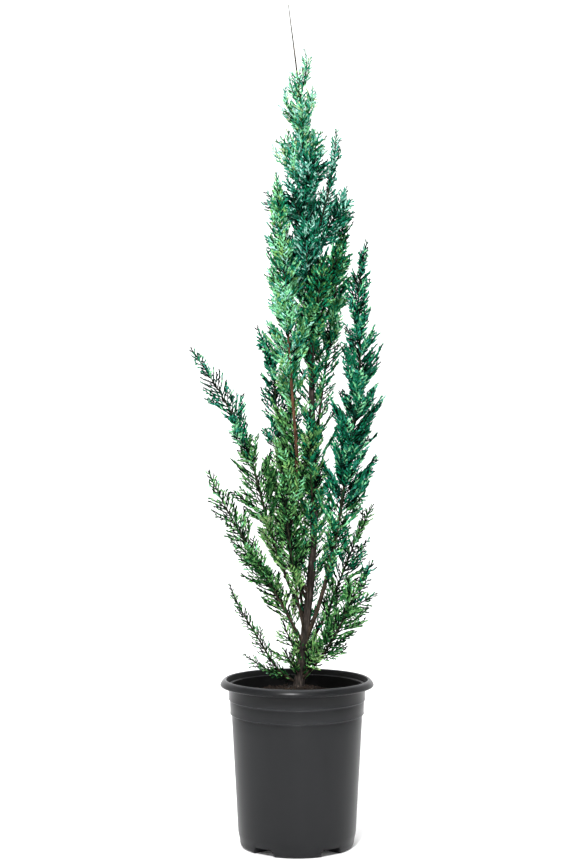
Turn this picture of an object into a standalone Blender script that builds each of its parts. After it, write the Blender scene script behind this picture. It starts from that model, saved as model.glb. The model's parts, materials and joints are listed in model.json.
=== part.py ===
"""Potted moonglow juniper: a young upright conifer in a round nursery pot.

Units are metres, +Z is up, the origin is the centre of the pot's flat foot, and -Y is the front.
Every shoot is one row of named sizes. Its stem leaves the trunk's centre line at a fork, keeps to
one upright plane, and leans by angles that are spaced evenly along it. Side twigs and sprays grow
on the stem by one seeded rule, and each foliage mass keeps to the space nearest its own stem.
"""
import math
import random
from dataclasses import dataclass

import bpy
import numpy as np
from mathutils import Vector

# Driving dimensions of the pot
POT_HEIGHT = 0.1775
POT_RIM_RADIUS = 0.0825
POT_FOOT_RADIUS = 0.0577
POT_FLOOR = 0.0095
POT_FLOOR_RADIUS = 0.0598
POT_MOUTH_RADIUS = 0.0712
POT_SEGMENTS = 40
WALL_TOP_Z = 0.1402
COLLAR_Z = 0.1552
LIP_Z = 0.1690
POCKET_COUNT = 5
POCKET_HEIGHT = 0.0075
POCKET_WIDTH = 0.0230
POCKET_SLANT = 0.0016
POCKET_DEPTH = 0.0180
POCKET_BEARING = -54.0
DRAIN_RADIUS = 0.0045
DRAIN_AT_RADIUS = 0.0485
DRAIN_SIDES = 8
DRAIN_TURN = 0.3
DRAIN_OVERRUN = 0.0030

# The pot's outside and lip: radius, then height
POT_OUTLINE = (
    (0.0, 0.0),
    (POT_FOOT_RADIUS, 0.0),
    (0.0607, 0.0047),
    (0.0618, 0.0090),
    (0.0632, 0.0155),
    (0.0702, WALL_TOP_Z),
    (0.0717, WALL_TOP_Z + 0.0018),
    (0.0722, COLLAR_Z - 0.0010),
    (0.0731, COLLAR_Z + 0.0004),
    (0.0735, LIP_Z),
    (0.0805, LIP_Z + 0.0009),
    (POT_RIM_RADIUS, LIP_Z + 0.0026),
    (0.0808, POT_HEIGHT - 0.0026),
    (0.0786, POT_HEIGHT - 0.0005),
    (0.0768, POT_HEIGHT),
    (0.0750, POT_HEIGHT - 0.0024),
)

# Driving dimensions of the soil and the trunk
CLEARANCE = 0.0003
SOIL_EDGE_Z = 0.1580
GROUND_Z = 0.1690
SOIL_GAP = 1.2 * CLEARANCE
SOIL_CROWN_RADIUS = 0.0150
SOIL_SLOPE = ((0.0580, 0.0012), (0.0420, 0.0042), (0.0270, 0.0082))
TRUNK_HEIGHT = 0.7350
TRUNK_RADIUS = 0.0048
TRUNK_TIP_RADIUS = 0.0005
TRUNK_TAPER = 0.90
FLARE_RADIUS = 0.0020
FLARE_FADE = 0.0090
TRUNK_SIDES = 10
TRUNK_RINGS = 26
TRUNK_RING_CROWDING = 1.35
CUT_SWELL = 1.1 * CLEARANCE
CUT_BELOW = 0.0100
CUT_ABOVE = 0.0020

# The trunk's centre line: height above the ground, then X and Y
TRUNK_LINE = (
    (0.000, 0.0020, 0.0000),
    (0.065, 0.0095, 0.0020),
    (0.130, 0.0160, 0.0030),
    (0.200, 0.0185, 0.0010),
    (0.330, 0.0156, -0.0010),
    (0.430, 0.0156, 0.0010),
    (0.470, 0.0125, 0.0020),
    (0.530, 0.0080, 0.0010),
    (0.640, 0.0020, -0.0010),
    (0.735, -0.0092, 0.0000),
)

# Stems, whose shares are of the length of the spray at the tip
STEM_TAPER = 0.80
STEM_TIP_RADIUS = 0.00055
STEM_STEP = 0.0020
STEM_RING_SPACING = 0.0250
BOUGH_SIDES = 7
STEM_SIDES = 4
TIP_SPRAY_LENGTH = 0.0240
TIP_SPRAY_ROOT = 0.80
STEM_ENDS_BEFORE_TIP = 0.45
LAST_TWIG_BEFORE_TIP = 0.62
CORE_ENDS_BEFORE_TIP = 0.85

# Side twigs
OPEN_SPACING = 0.0280
DENSE_SPACING = 0.0175
FIRST_TWIG_SHARE = 0.4
TWIG_RADIUS = 0.0010
TWIG_SIDES = 3
TWIG_RING_TURN = 0.15
TWIG_ANGLE = 38.0
TWIG_ANGLE_SPREAD = 5.0
GOLDEN_ANGLE = 137.5
TURN_SPREAD = 15.0
TURN_BETWEEN_MASSES = 40.0
SHORTEST_REACH = 0.0050
REACH_SPREAD = 0.15
PLUME_FOOT_WIDTH = 0.55
PLUME_FOOT_GROWTH = 2.2
PLUME_TIP_POWER = 2.6
PLUME_TIP_BLUNTNESS = 0.8

# Sprays, whose shares are of their twig's length
SPRAY_SIZES = (1.0, 0.75, 0.5)
SPRAY_WIDTH_SHARE = 0.25
SPRAY_LENGTH_SHARE = 1.25
SPRAY_ROOT_SHARE = 0.20
SIDE_SPRAY_SHARE = 0.95
SIDE_SPRAY_ROOT_SHARE = 0.18
STEM_SPRAY_HALF_WIDTH = 0.0030
SPRAY_HALF_THICKNESS = 0.0008
SPRAY_EDGE_RADIUS = 0.0003
SPRAY_BELLY = 0.42
SPRAY_FORK = 38.0
STEM_SPRAY_ROLL = 23.0
TIP_SPRAY_ROLL = 13.0
SIDE_SPRAY_ROLL = -21.0

# Cores of the dense plumes
CORE_SHARE = 0.56
CORE_SIZES = (1.0, 0.75, 0.5, 0.3)
CORE_SIDES = 6
CORE_TURN = 0.2
CORE_RING_SPACING = 0.0260
CORE_FEWEST_RINGS = 4
CORE_STARTS_AFTER = 0.0040
CORE_HIDDEN_SHARE = 0.45
CORE_MARGIN = 0.0006
SPACE_MARGIN = 0.0006
LIMB_MARGIN = 0.0006


@dataclass(frozen=True)
class Shoot:
    """One shoot: its fork's height above the ground, bearing, length, leans and plume.

    Girth is the wood's radius at the fork and reach is how far side twigs stand off the stem. A
    bare foot makes a bough, and foliage is dense from dense_from, a share of the mass's length.
    """

    name: str
    fork: float
    bearing: float
    length: float
    leans: tuple
    girth: float
    reach: float
    bare: float = 0.0
    dense_from: float = 1.0


# Shoots that are strong enough to show a bare bough below their foliage
LEADERS = (
    Shoot("outer_left", 0.070, 188, 0.320, (28, 18, 14, 28, 37), 0.0022, 0.018, 0.045),
    Shoot("low_left", 0.045, 212, 0.222, (32, 33, 34, 27), 0.0018, 0.014, 0.036),
    Shoot("left_fan", 0.020, 158, 0.165, (5, 32, 58), 0.0017, 0.014, 0.032),
    Shoot("second", 0.100, 228, 0.460, (53, -15, 8, 5, 6, 8), 0.0026, 0.020, 0.070, 0.42),
    Shoot("third", 0.090, 145, 0.312, (35, 8, 5, 5, 33), 0.0019, 0.016, 0.045, 0.62),
    Shoot("right", 0.044, 345, 0.442, (24, 13, 9, 8, -4, 16), 0.0027, 0.021, 0.060, 0.22),
    Shoot("right_inner", 0.232, 50, 0.313, (8, 12, 11, 6), 0.0018, 0.015, 0.060, 0.30),
    Shoot("right_mid", 0.034, 25, 0.182, (40, 25, 24, 32), 0.0018, 0.015, 0.034),
    Shoot("low_right", 0.006, 322, 0.166, (52, 36, 27, 38), 0.0019, 0.017, 0.024),
    Shoot("low_right_outer", 0.008, 5, 0.126, (28, 40, 62), 0.0015, 0.012, 0.022),
    Shoot("back", 0.060, 108, 0.310, (26, 10, 6, 14), 0.0019, 0.015, 0.045),
    Shoot("front_fan", 0.055, 248, 0.190, (30, 18, 12), 0.0016, 0.014, 0.036),
)

# Lesser shoots, whose foliage starts at the trunk
SIDE_SHOOTS = (
    Shoot("wisp", 0.004, 200, 0.138, (70, 30, 33, 21), 0.0013, 0.008),
    Shoot("wisp_low", 0.004, 172, 0.069, (76, 63, 54), 0.0012, 0.008),
    Shoot("foot_left", 0.012, 232, 0.044, (50, 42, 35), 0.0012, 0.012),
    Shoot("foot_right", 0.010, 305, 0.060, (50, 42, 32), 0.0012, 0.013),
    Shoot("low_front", 0.024, 196, 0.055, (28, 24, 22), 0.0011, 0.010),
    Shoot("mid_back", 0.150, 92, 0.130, (30, 16, 10), 0.0013, 0.014),
    Shoot("mid_front", 0.180, 258, 0.120, (26, 12, 8), 0.0013, 0.013),
    Shoot("upper_back", 0.330, 92, 0.130, (30, 20, 12), 0.0014, 0.014, 0.0, 0.10),
    Shoot("upper_front", 0.350, 285, 0.110, (30, 20, 10), 0.0013, 0.013, 0.0, 0.10),
    Shoot("crest_right", 0.468, 340, 0.136, (26, 13, 2), 0.0013, 0.009, 0.0, 0.10),
    Shoot("crown_low_right", 0.394, 325, 0.090, (21, 28, 43), 0.0012, 0.013, 0.0, 0.10),
    Shoot("crown_low_back", 0.394, 130, 0.100, (33, 26, 18), 0.0012, 0.013, 0.0, 0.10),
    Shoot("crown_low_front", 0.415, 255, 0.095, (32, 22, 12), 0.0012, 0.013, 0.0, 0.10),
    Shoot("crown_right", 0.457, 15, 0.093, (27, 31, 19), 0.0012, 0.013, 0.0, 0.10),
    Shoot("crown_left", 0.432, 168, 0.076, (41, 34, 34), 0.0012, 0.013, 0.0, 0.10),
    Shoot("crown_back", 0.470, 85, 0.095, (34, 22, 12), 0.0012, 0.013, 0.0, 0.10),
    Shoot("crown_front_left", 0.489, 245, 0.075, (55, 44, 33), 0.0011, 0.012, 0.0, 0.10),
    Shoot("crown_front", 0.505, 278, 0.080, (34, 24, 12), 0.0011, 0.012, 0.0, 0.10),
    Shoot("crown_mid_left", 0.490, 190, 0.062, (52, 48, 40), 0.0011, 0.012, 0.0, 0.10),
    Shoot("crown_mid_right", 0.523, 312, 0.056, (34, 29, 25), 0.0011, 0.012, 0.0, 0.10),
    Shoot("crown_high_left", 0.525, 155, 0.080, (24, 20, -8), 0.0010, 0.012, 0.0, 0.10),
    Shoot("crown_high_back", 0.545, 80, 0.070, (32, 22, 12), 0.0010, 0.011, 0.0, 0.10),
    Shoot("crown_high_right", 0.553, 25, 0.052, (27, 24, 22), 0.0010, 0.011, 0.0, 0.10),
    Shoot("crown_high_front", 0.572, 265, 0.062, (30, 20, 10), 0.0010, 0.010, 0.0, 0.10),
    Shoot("tip_left", 0.588, 205, 0.060, (24, 30, -5), 0.0009, 0.009, 0.0, 0.10),
    Shoot("tip_right", 0.598, 330, 0.050, (29, 16, 6), 0.0009, 0.009, 0.0, 0.10),
    Shoot("tip_back", 0.618, 150, 0.044, (24, 19, 14), 0.0009, 0.007, 0.0, 0.10),
    Shoot("tip_front", 0.626, 350, 0.063, (6, 15, -20), 0.0009, 0.005, 0.0, 0.10),
)

# Colour and roughness of each material
SURFACES = {
    "pot_plastic": ((0.050, 0.052, 0.055), 0.45),
    "potting_mix": ((0.018, 0.013, 0.010), 0.95),
    "bark": ((0.085, 0.055, 0.042), 0.90),
    "young_bark": ((0.150, 0.075, 0.040), 0.85),
    "low_foliage": ((0.030, 0.150, 0.045), 0.70),
    "mid_foliage": ((0.050, 0.260, 0.130), 0.70),
    "top_foliage": ((0.060, 0.330, 0.220), 0.70),
}
MID_FOLIAGE_FROM = 0.150
TOP_FOLIAGE_FROM = 0.330
SMOOTH_ANGLE = 35.0


def material(name):
    """Makes one of the plain Principled materials."""
    colour, roughness = SURFACES[name]
    made = bpy.data.materials.new(name)
    made.use_nodes = True
    shader = made.node_tree.nodes["Principled BSDF"]
    shader.inputs["Base Color"].default_value = (*colour, 1.0)
    shader.inputs["Roughness"].default_value = roughness
    shader.inputs["Metallic"].default_value = 0.0
    return made


def add_object(name, vertices, faces):
    """Adds a mesh object from vertices and faces."""
    mesh = bpy.data.meshes.new(name)
    mesh.from_pydata([tuple(v) for v in vertices], [], faces)
    mesh.update()
    made = bpy.data.objects.new(name, mesh)
    bpy.context.scene.collection.objects.link(made)
    return made


def finish(obj, surface):
    """Names the object's mesh after it, gives it its material and smooth shading."""
    obj.data.name = obj.name
    obj.data.materials.clear()
    obj.data.materials.append(surface)
    obj.data.shade_smooth()
    obj.data.set_sharp_from_angle(angle=math.radians(SMOOTH_ANGLE))


def remove(obj):
    """Removes an object together with its mesh."""
    mesh = obj.data
    bpy.data.objects.remove(obj)
    bpy.data.meshes.remove(mesh)


def boolean(obj, operation, parts):
    """Joins or cuts an object with every part at once, applies that and removes the parts."""
    operands = bpy.data.collections.new("operands")
    bpy.context.scene.collection.children.link(operands)
    for part in parts:
        bpy.context.scene.collection.objects.unlink(part)
        operands.objects.link(part)
    modifier = obj.modifiers.new("shape", "BOOLEAN")
    modifier.operation = operation
    modifier.operand_type = "COLLECTION"
    modifier.collection = operands
    modifier.solver = "EXACT"
    evaluated = obj.evaluated_get(bpy.context.evaluated_depsgraph_get())
    shaped = bpy.data.meshes.new_from_object(evaluated)
    obj.modifiers.clear()
    plain = obj.data
    obj.data = shaped
    bpy.data.meshes.remove(plain)
    for part in parts:
        remove(part)
    bpy.data.collections.remove(operands)


def turned(name, profile, segments):
    """Turns a profile, from its foot on the axis up round its outside to the axis again."""
    rings = profile[1:-1]
    vertices = [Vector((0.0, 0.0, profile[0][1]))]
    for radius, height in rings:
        for k in range(segments):
            turn = 2.0 * math.pi * k / segments
            vertices.append(Vector((radius * math.cos(turn), radius * math.sin(turn), height)))
    vertices.append(Vector((0.0, 0.0, profile[-1][1])))
    last = len(vertices) - 1
    faces = []
    for k in range(segments):
        beside = (k + 1) % segments
        faces.append((0, 1 + beside, 1 + k))
        for ring in range(len(rings) - 1):
            low = 1 + ring * segments
            high = low + segments
            faces.append((low + k, low + beside, high + beside, high + k))
        top = 1 + (len(rings) - 1) * segments
        faces.append((top + k, top + beside, last))
    return add_object(name, vertices, faces)


def inner_wall_radius(height):
    """Radius of the pot's inner wall at a height."""
    share = (height - POT_FLOOR) / (LIP_Z - POT_FLOOR)
    return POT_FLOOR_RADIUS + share * (POT_MOUTH_RADIUS - POT_FLOOR_RADIUS)


def make_pot():
    """Turns the pot, then cuts its drain pockets and the holes above them."""
    inside = (
        (inner_wall_radius(LIP_Z), LIP_Z),
        (inner_wall_radius(POT_FLOOR), POT_FLOOR),
        (0.0, POT_FLOOR),
    )
    pot = turned("pot", POT_OUTLINE + inside, POT_SEGMENTS)
    cutters = []
    for k in range(POCKET_COUNT):
        turn = math.radians(POCKET_BEARING + 360.0 * k / POCKET_COUNT)
        cutters.append(pocket_cutter(turn))
        cutters.append(drain_cutter(turn))
    boolean(pot, "DIFFERENCE", cutters)
    return pot


def pocket_cutter(turn):
    """A wedge-sided block that hollows the foot's edge at one bearing."""
    out = Vector((math.cos(turn), math.sin(turn), 0.0))
    side = Vector((-out.y, out.x, 0.0))
    corners = []
    for reach in (POT_FOOT_RADIUS - POCKET_DEPTH, POT_RIM_RADIUS):
        for height, half_width in (
            (-POCKET_HEIGHT, POCKET_WIDTH / 2.0 + POCKET_SLANT),
            (POCKET_HEIGHT, POCKET_WIDTH / 2.0 - POCKET_SLANT),
        ):
            level = Vector((0.0, 0.0, height))
            corners.append(out * reach - side * half_width + level)
            corners.append(out * reach + side * half_width + level)
    faces = ((0, 2, 3, 1), (4, 5, 7, 6), (0, 1, 5, 4), (2, 6, 7, 3), (0, 4, 6, 2), (1, 3, 7, 5))
    return add_object("pocket", corners, faces)


def drain_cutter(turn):
    """An eight-sided pin that opens the roof of a pocket into the pot."""
    centre = Vector((math.cos(turn), math.sin(turn), 0.0)) * DRAIN_AT_RADIUS
    rings = []
    for height in (POCKET_HEIGHT - DRAIN_OVERRUN, POT_FLOOR + DRAIN_OVERRUN):
        for k in range(DRAIN_SIDES):
            at = turn + 2.0 * math.pi * (k + DRAIN_TURN) / DRAIN_SIDES
            around = Vector((math.cos(at), math.sin(at), 0.0)) * DRAIN_RADIUS
            rings.append(centre + around + Vector((0.0, 0.0, height)))
    faces = tube_faces(2, DRAIN_SIDES)
    return add_object("drain", rings, faces)


def make_soil():
    """Fills the pot with mix: low at the wall and mounded round the trunk."""
    foot_z = POT_FLOOR + CLEARANCE
    top_z = GROUND_Z - CLEARANCE
    slope = [(radius, SOIL_EDGE_Z + rise) for radius, rise in SOIL_SLOPE]
    profile = (
        (0.0, foot_z),
        (inner_wall_radius(foot_z) - SOIL_GAP, foot_z),
        (inner_wall_radius(SOIL_EDGE_Z) - SOIL_GAP, SOIL_EDGE_Z),
        *slope,
        (SOIL_CROWN_RADIUS, top_z),
        (0.0, top_z),
    )
    return turned("soil", profile, POT_SEGMENTS)


def trunk_centre(height):
    """Point on the trunk's centre line at a height above the ground."""
    rows = TRUNK_LINE
    height = min(max(height, rows[0][0]), rows[-1][0])
    k = 0
    while k < len(rows) - 2 and height > rows[k + 1][0]:
        k += 1
    span = rows[k + 1][0] - rows[k][0]
    t = (height - rows[k][0]) / span
    spot = []
    for axis in (1, 2):
        start_slope = trunk_slope(k, axis) * span
        end_slope = trunk_slope(k + 1, axis) * span
        spot.append(
            (2 * t**3 - 3 * t**2 + 1) * rows[k][axis]
            + (t**3 - 2 * t**2 + t) * start_slope
            + (3 * t**2 - 2 * t**3) * rows[k + 1][axis]
            + (t**3 - t**2) * end_slope
        )
    return Vector((spot[0], spot[1], GROUND_Z + height))


def trunk_slope(row, axis):
    """Sideways travel of the trunk for each metre of height, at one row of its line."""
    before = TRUNK_LINE[max(0, row - 1)]
    after = TRUNK_LINE[min(len(TRUNK_LINE) - 1, row + 1)]
    return (after[axis] - before[axis]) / (after[0] - before[0])


def trunk_radius(height):
    """Radius of the trunk at a height above the ground, with its root flare."""
    share = min(max(height / TRUNK_HEIGHT, 0.0), 1.0)
    body = TRUNK_TIP_RADIUS + (TRUNK_RADIUS - TRUNK_TIP_RADIUS) * (1.0 - share) ** TRUNK_TAPER
    return body + FLARE_RADIUS * math.exp(-max(height, 0.0) / FLARE_FADE)


def trunk_mesh(name, heights, swell):
    """A closed solid round the trunk's centre line, with level rings."""
    vertices = []
    for height in heights:
        centre = trunk_centre(height)
        centre.z = GROUND_Z + height
        radius = trunk_radius(height) + swell
        for k in range(TRUNK_SIDES):
            turn = 2.0 * math.pi * k / TRUNK_SIDES
            vertices.append(centre + Vector((math.cos(turn), math.sin(turn), 0.0)) * radius)
    return add_object(name, vertices, tube_faces(len(heights), TRUNK_SIDES))


def tube_faces(rings, sides):
    """Faces of a capped tube whose rings follow one another upwards."""
    faces = [tuple(reversed(range(sides)))]
    for ring in range(rings - 1):
        low = ring * sides
        high = low + sides
        for k in range(sides):
            beside = (k + 1) % sides
            faces.append((low + k, low + beside, high + beside, high + k))
    faces.append(tuple(range((rings - 1) * sides, rings * sides)))
    return faces


def trunk_heights():
    """Ring heights of the trunk, closer together in the flare."""
    return [TRUNK_HEIGHT * (k / TRUNK_RINGS) ** TRUNK_RING_CROWDING for k in range(TRUNK_RINGS + 1)]


class Stem:
    """The centre line of a shoot, from the trunk's centre line to its tip."""

    def __init__(self, shoot):
        self.shoot = shoot
        turn = math.radians(shoot.bearing)
        self.out = Vector((math.cos(turn), math.sin(turn), 0.0))
        self.side = Vector((-self.out.y, self.out.x, 0.0))
        steps = max(8, round(shoot.length / STEM_STEP))
        self.pace = shoot.length / steps
        spot = trunk_centre(shoot.fork)
        self.spots = [spot]
        self.headings = [self.heading_at(0.0)]
        for k in range(steps):
            spot = spot + self.heading_at((k + 0.5) / steps) * self.pace
            self.spots.append(spot)
            self.headings.append(self.heading_at((k + 1.0) / steps))

    def heading_at(self, share):
        """Direction of growth at a share of the shoot's length."""
        leans = self.shoot.leans
        place = share * (len(leans) - 1)
        k = min(int(place), len(leans) - 2)
        lean = math.radians(leans[k] + (leans[k + 1] - leans[k]) * (place - k))
        return self.out * math.sin(lean) + Vector((0.0, 0.0, math.cos(lean)))

    def at(self, along):
        """Point and heading at a distance along the stem."""
        place = min(max(along / self.pace, 0.0), len(self.spots) - 1.001)
        k = int(place)
        spot = self.spots[k].lerp(self.spots[k + 1], place - k)
        heading = self.headings[k].lerp(self.headings[k + 1], place - k).normalized()
        return spot, heading

    def radius(self, along):
        """Radius of the wood at a distance along the stem."""
        left = max(0.0, 1.0 - along / self.shoot.length)
        return STEM_TIP_RADIUS + (self.shoot.girth - STEM_TIP_RADIUS) * left**STEM_TAPER

    def leaves_trunk(self):
        """Distance along the stem at which it stands clear of the trunk."""
        along = 0.0
        while along < self.shoot.length:
            spot, heading = self.at(along)
            height = spot.z - GROUND_Z
            aside = (spot - trunk_centre(height)).length
            if aside > trunk_radius(height) + CLEARANCE + self.radius(along) * abs(heading.z):
                return along
            along += STEM_STEP / 4.0
        return along

    def tube(self, name, start, end, sides):
        """A capped tube along part of the stem."""
        rings = max(2, round((end - start) / STEM_RING_SPACING) + 1)
        vertices = []
        for ring in range(rings):
            along = start + (end - start) * ring / (rings - 1)
            spot, heading = self.at(along)
            across = heading.cross(self.side)
            radius = self.radius(along)
            for k in range(sides):
                turn = 2.0 * math.pi * k / sides
                around = self.side * math.sin(turn) - across * math.cos(turn)
                vertices.append(spot + around * radius)
        return add_object(name, vertices, tube_faces(rings, sides))


class Spray:
    """An eight-faced blade, wide across flat but rolled a little, and thin the other way."""

    def __init__(self, root, tip, flat, roll, half_width):
        heading = (tip - root).normalized()
        level = (flat - heading * flat.dot(heading)).normalized()
        upright = heading.cross(level)
        roll = math.radians(roll)
        self.root = root
        self.tip = tip
        self.wide = (level * math.cos(roll) + upright * math.sin(roll)) * half_width
        self.thin = (upright * math.cos(roll) - level * math.sin(roll)) * SPRAY_HALF_THICKNESS
        self.belly = root.lerp(tip, SPRAY_BELLY)

    def edge_spots(self):
        """Points that say where the blade reaches: its middle line and both its edges."""
        spots = [self.belly, self.tip, self.belly.lerp(self.tip, 0.5)]
        for edge in (self.belly + self.wide, self.belly - self.wide):
            spots += [edge, edge.lerp(self.tip, 0.5), edge.lerp(self.root, 0.5)]
        return spots

    def solid(self):
        """Adds the blade as an object."""
        ring = (self.belly + self.wide, self.belly + self.thin)
        ring += (self.belly - self.wide, self.belly - self.thin)
        faces = [(0, 1 + (k + 1) % 4, 1 + k) for k in range(4)]
        faces += [(5, 1 + k, 1 + (k + 1) % 4) for k in range(4)]
        return add_object("spray", (self.root, *ring, self.tip), faces)


def twig(root, tip, flat):
    """A three-sided twig that narrows from its root to a point at its tip."""
    heading = (tip - root).normalized()
    wide = (flat - heading * flat.dot(heading)).normalized()
    thin = heading.cross(wide)
    ring = []
    for k in range(TWIG_SIDES):
        turn = 2.0 * math.pi * (k + TWIG_RING_TURN) / TWIG_SIDES
        ring.append(root + (wide * math.cos(turn) + thin * math.sin(turn)) * TWIG_RADIUS)
    return add_object("twig", (*ring, tip), ((2, 1, 0), (0, 1, 3), (1, 2, 3), (2, 0, 3)))


class Space:
    """Says whether a piece of foliage keeps to its own mass and clear of every limb."""

    def __init__(self):
        self.limbs = {}
        self.masses = {}

    def add_limb(self, name, spots, radii):
        """Records a limb as a chain of short lengths with radii."""
        self.limbs[name] = (np.array(spots), np.array(radii))

    def add_mass(self, name, spots):
        """Records the line that a foliage mass grows round."""
        self.masses[name] = np.array(spots)

    @staticmethod
    def distances(spot, chain):
        """Distance from a point to each length of a chain, and how far along each it falls."""
        start = chain[:-1]
        run = chain[1:] - start
        share = ((spot - start) * run).sum(1) / (run * run).sum(1)
        share = share.clip(0.0, 1.0)
        nearest = start + run * share[:, None]
        return np.sqrt(((spot - nearest) ** 2).sum(1)), share

    def allows(self, owner, spots, radius):
        """Tests points of a piece of foliage that belongs to owner and is this thick there."""
        for spot in spots:
            spot = np.array(spot)
            own = self.distances(spot, self.masses[owner])[0].min()
            for name, chain in self.masses.items():
                if name == owner:
                    continue
                if self.distances(spot, chain)[0].min() - own < 2.0 * radius + SPACE_MARGIN:
                    return False
            for name, (chain, radii) in self.limbs.items():
                if name == owner:
                    continue
                gaps, along = self.distances(spot, chain)
                widths = radii[:-1] + (radii[1:] - radii[:-1]) * along
                if (gaps - widths).min() < radius + LIMB_MARGIN:
                    return False
            if spot[2] < GROUND_Z + radius and math.hypot(spot[0], spot[1]) < POT_RIM_RADIUS:
                return False
        return True


def plume_width(share):
    """Share of the full reach that side twigs have, from a mass's foot to its tip."""
    foot = min(1.0, PLUME_FOOT_WIDTH + PLUME_FOOT_GROWTH * share)
    return foot * (1.0 - share**PLUME_TIP_POWER) ** PLUME_TIP_BLUNTNESS


def side_twigs(stem, start, seed):
    """Yields number, root, tip, flat direction and density of each side twig of a mass."""
    shoot = stem.shoot
    last = shoot.length - LAST_TWIG_BEFORE_TIP * TIP_SPRAY_LENGTH
    along = start + FIRST_TWIG_SHARE * OPEN_SPACING
    k = 0
    while along < last:
        dice = random.Random(1000 * seed + k)
        share = (along - start) / (shoot.length - start)
        dense = share >= shoot.dense_from
        spot, heading = stem.at(along)
        spread = dice.uniform(-TURN_SPREAD, TURN_SPREAD)
        turn = math.radians(GOLDEN_ANGLE * k + TURN_BETWEEN_MASSES * seed + spread)
        across = heading.cross(stem.side)
        outward = stem.side * math.cos(turn) + across * math.sin(turn)
        angle = math.radians(TWIG_ANGLE + dice.uniform(-TWIG_ANGLE_SPREAD, TWIG_ANGLE_SPREAD))
        reach = shoot.reach * plume_width(share) * dice.uniform(1.0 - REACH_SPREAD, 1.0 + REACH_SPREAD)
        length = max(reach, SHORTEST_REACH) / math.sin(angle)
        tip = spot + (outward * math.sin(angle) + heading * math.cos(angle)) * length
        flat = heading.cross(outward).normalized()
        yield k, spot, tip, flat, dense
        along += DENSE_SPACING if dense else OPEN_SPACING
        k += 1


def fitted_spray(space, owner, root, run, flat, roll):
    """The largest spray of a few sizes that fits the mass's own space, or None."""
    for size in SPRAY_SIZES:
        tip = root + run * size
        spray = Spray(root, tip, flat, roll, SPRAY_WIDTH_SHARE * run.length * size)
        if space.allows(owner, spray.edge_spots(), SPRAY_EDGE_RADIUS):
            return spray
    return None


def core_solid(stem, start, space, owner):
    """The slim dense heart of a mass, drawn in wherever a neighbour is near."""
    shoot = stem.shoot
    first = start + shoot.dense_from * (shoot.length - start) + CORE_STARTS_AFTER
    last = shoot.length - CORE_ENDS_BEFORE_TIP * TIP_SPRAY_LENGTH
    rings = max(CORE_FEWEST_RINGS, round((last - first) / CORE_RING_SPACING) + 1)
    vertices = []
    for ring in range(rings):
        along = first + (last - first) * ring / (rings - 1)
        spot, heading = stem.at(along)
        across = heading.cross(stem.side)
        share = (along - start) / (shoot.length - start)
        full = CORE_SHARE * shoot.reach * plume_width(share)
        hidden = CORE_HIDDEN_SHARE * stem.radius(along)
        for k in range(CORE_SIDES):
            turn = 2.0 * math.pi * (k + 0.5 * (ring % 2) + CORE_TURN) / CORE_SIDES
            around = stem.side * math.sin(turn) - across * math.cos(turn)
            width = hidden
            if 0 < ring < rings - 1:
                for size in CORE_SIZES:
                    if space.allows(owner, [spot + around * full * size], CORE_MARGIN):
                        width = max(hidden, full * size)
                        break
            vertices.append(spot + around * width)
    return add_object("core", vertices, tube_faces(rings, CORE_SIDES))


def make_mass(stem, start, seed, space, cutter):
    """Grows one foliage mass on its stem and joins it into one solid."""
    shoot = stem.shoot
    owner = shoot.name + "_foliage"
    end = shoot.length - STEM_ENDS_BEFORE_TIP * TIP_SPRAY_LENGTH
    body = stem.tube(owner, start, end, STEM_SIDES)
    if cutter is not None:
        boolean(body, "DIFFERENCE", [cutter])
    tip_root = stem.at(shoot.length - TIP_SPRAY_ROOT * TIP_SPRAY_LENGTH)[0]
    tip_end = stem.at(shoot.length)[0]
    at_end = Spray(tip_root, tip_end, stem.side, STEM_SPRAY_ROLL, STEM_SPRAY_HALF_WIDTH)
    parts = [at_end.solid()]
    first = max(start, stem.leaves_trunk())
    if shoot.dense_from < 1.0:
        parts.append(core_solid(stem, first, space, owner))
    for k, root, tip, flat, dense in side_twigs(stem, first, seed):
        run = tip - root
        spray_run = run * SPRAY_LENGTH_SHARE
        if dense:
            spray = fitted_spray(space, owner, root, spray_run, flat, TIP_SPRAY_ROLL)
            if spray is not None:
                parts.append(spray.solid())
            continue
        along_twig = [root.lerp(tip, share) for share in (0.3, 0.5, 0.75, 1.0)]
        if not space.allows(owner, along_twig, TWIG_RADIUS):
            continue
        parts.append(twig(root, tip, flat))
        fork = math.radians(SPRAY_FORK * (1.0 if k % 2 else -1.0))
        aside = (run * math.cos(fork) + flat * run.length * math.sin(fork)) * SIDE_SPRAY_SHARE
        tip_spray_root = root + run * SPRAY_ROOT_SHARE
        side_spray_root = root + run * SIDE_SPRAY_ROOT_SHARE
        sprays = (
            fitted_spray(space, owner, tip_spray_root, spray_run, flat, TIP_SPRAY_ROLL),
            fitted_spray(space, owner, side_spray_root, aside, flat, SIDE_SPRAY_ROLL),
        )
        parts += [spray.solid() for spray in sprays if spray is not None]
    boolean(body, "UNION", parts)
    return body


def measured_space(stems, heights):
    """Records the trunk, every bough and every mass, so that foliage can keep clear of them."""
    space = Space()
    space.add_limb("trunk", [trunk_centre(h) for h in heights], [trunk_radius(h) for h in heights])
    for stem in stems:
        shoot = stem.shoot
        start = shoot.bare + CLEARANCE if shoot.bare else stem.leaves_trunk()
        places = [k * stem.pace for k in range(len(stem.spots))]
        inside = [k for k, place in enumerate(places) if place >= start]
        spots = [stem.spots[k] for k in inside]
        space.add_limb(shoot.name + "_foliage", spots, [stem.radius(places[k]) for k in inside])
        space.add_mass(shoot.name + "_foliage", spots)
        if shoot.bare:
            below = [k for k, place in enumerate(places) if place <= start]
            spots = [stem.spots[k] for k in below]
            space.add_limb(shoot.name + "_bough", spots, [stem.radius(places[k]) for k in below])
    return space


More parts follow.
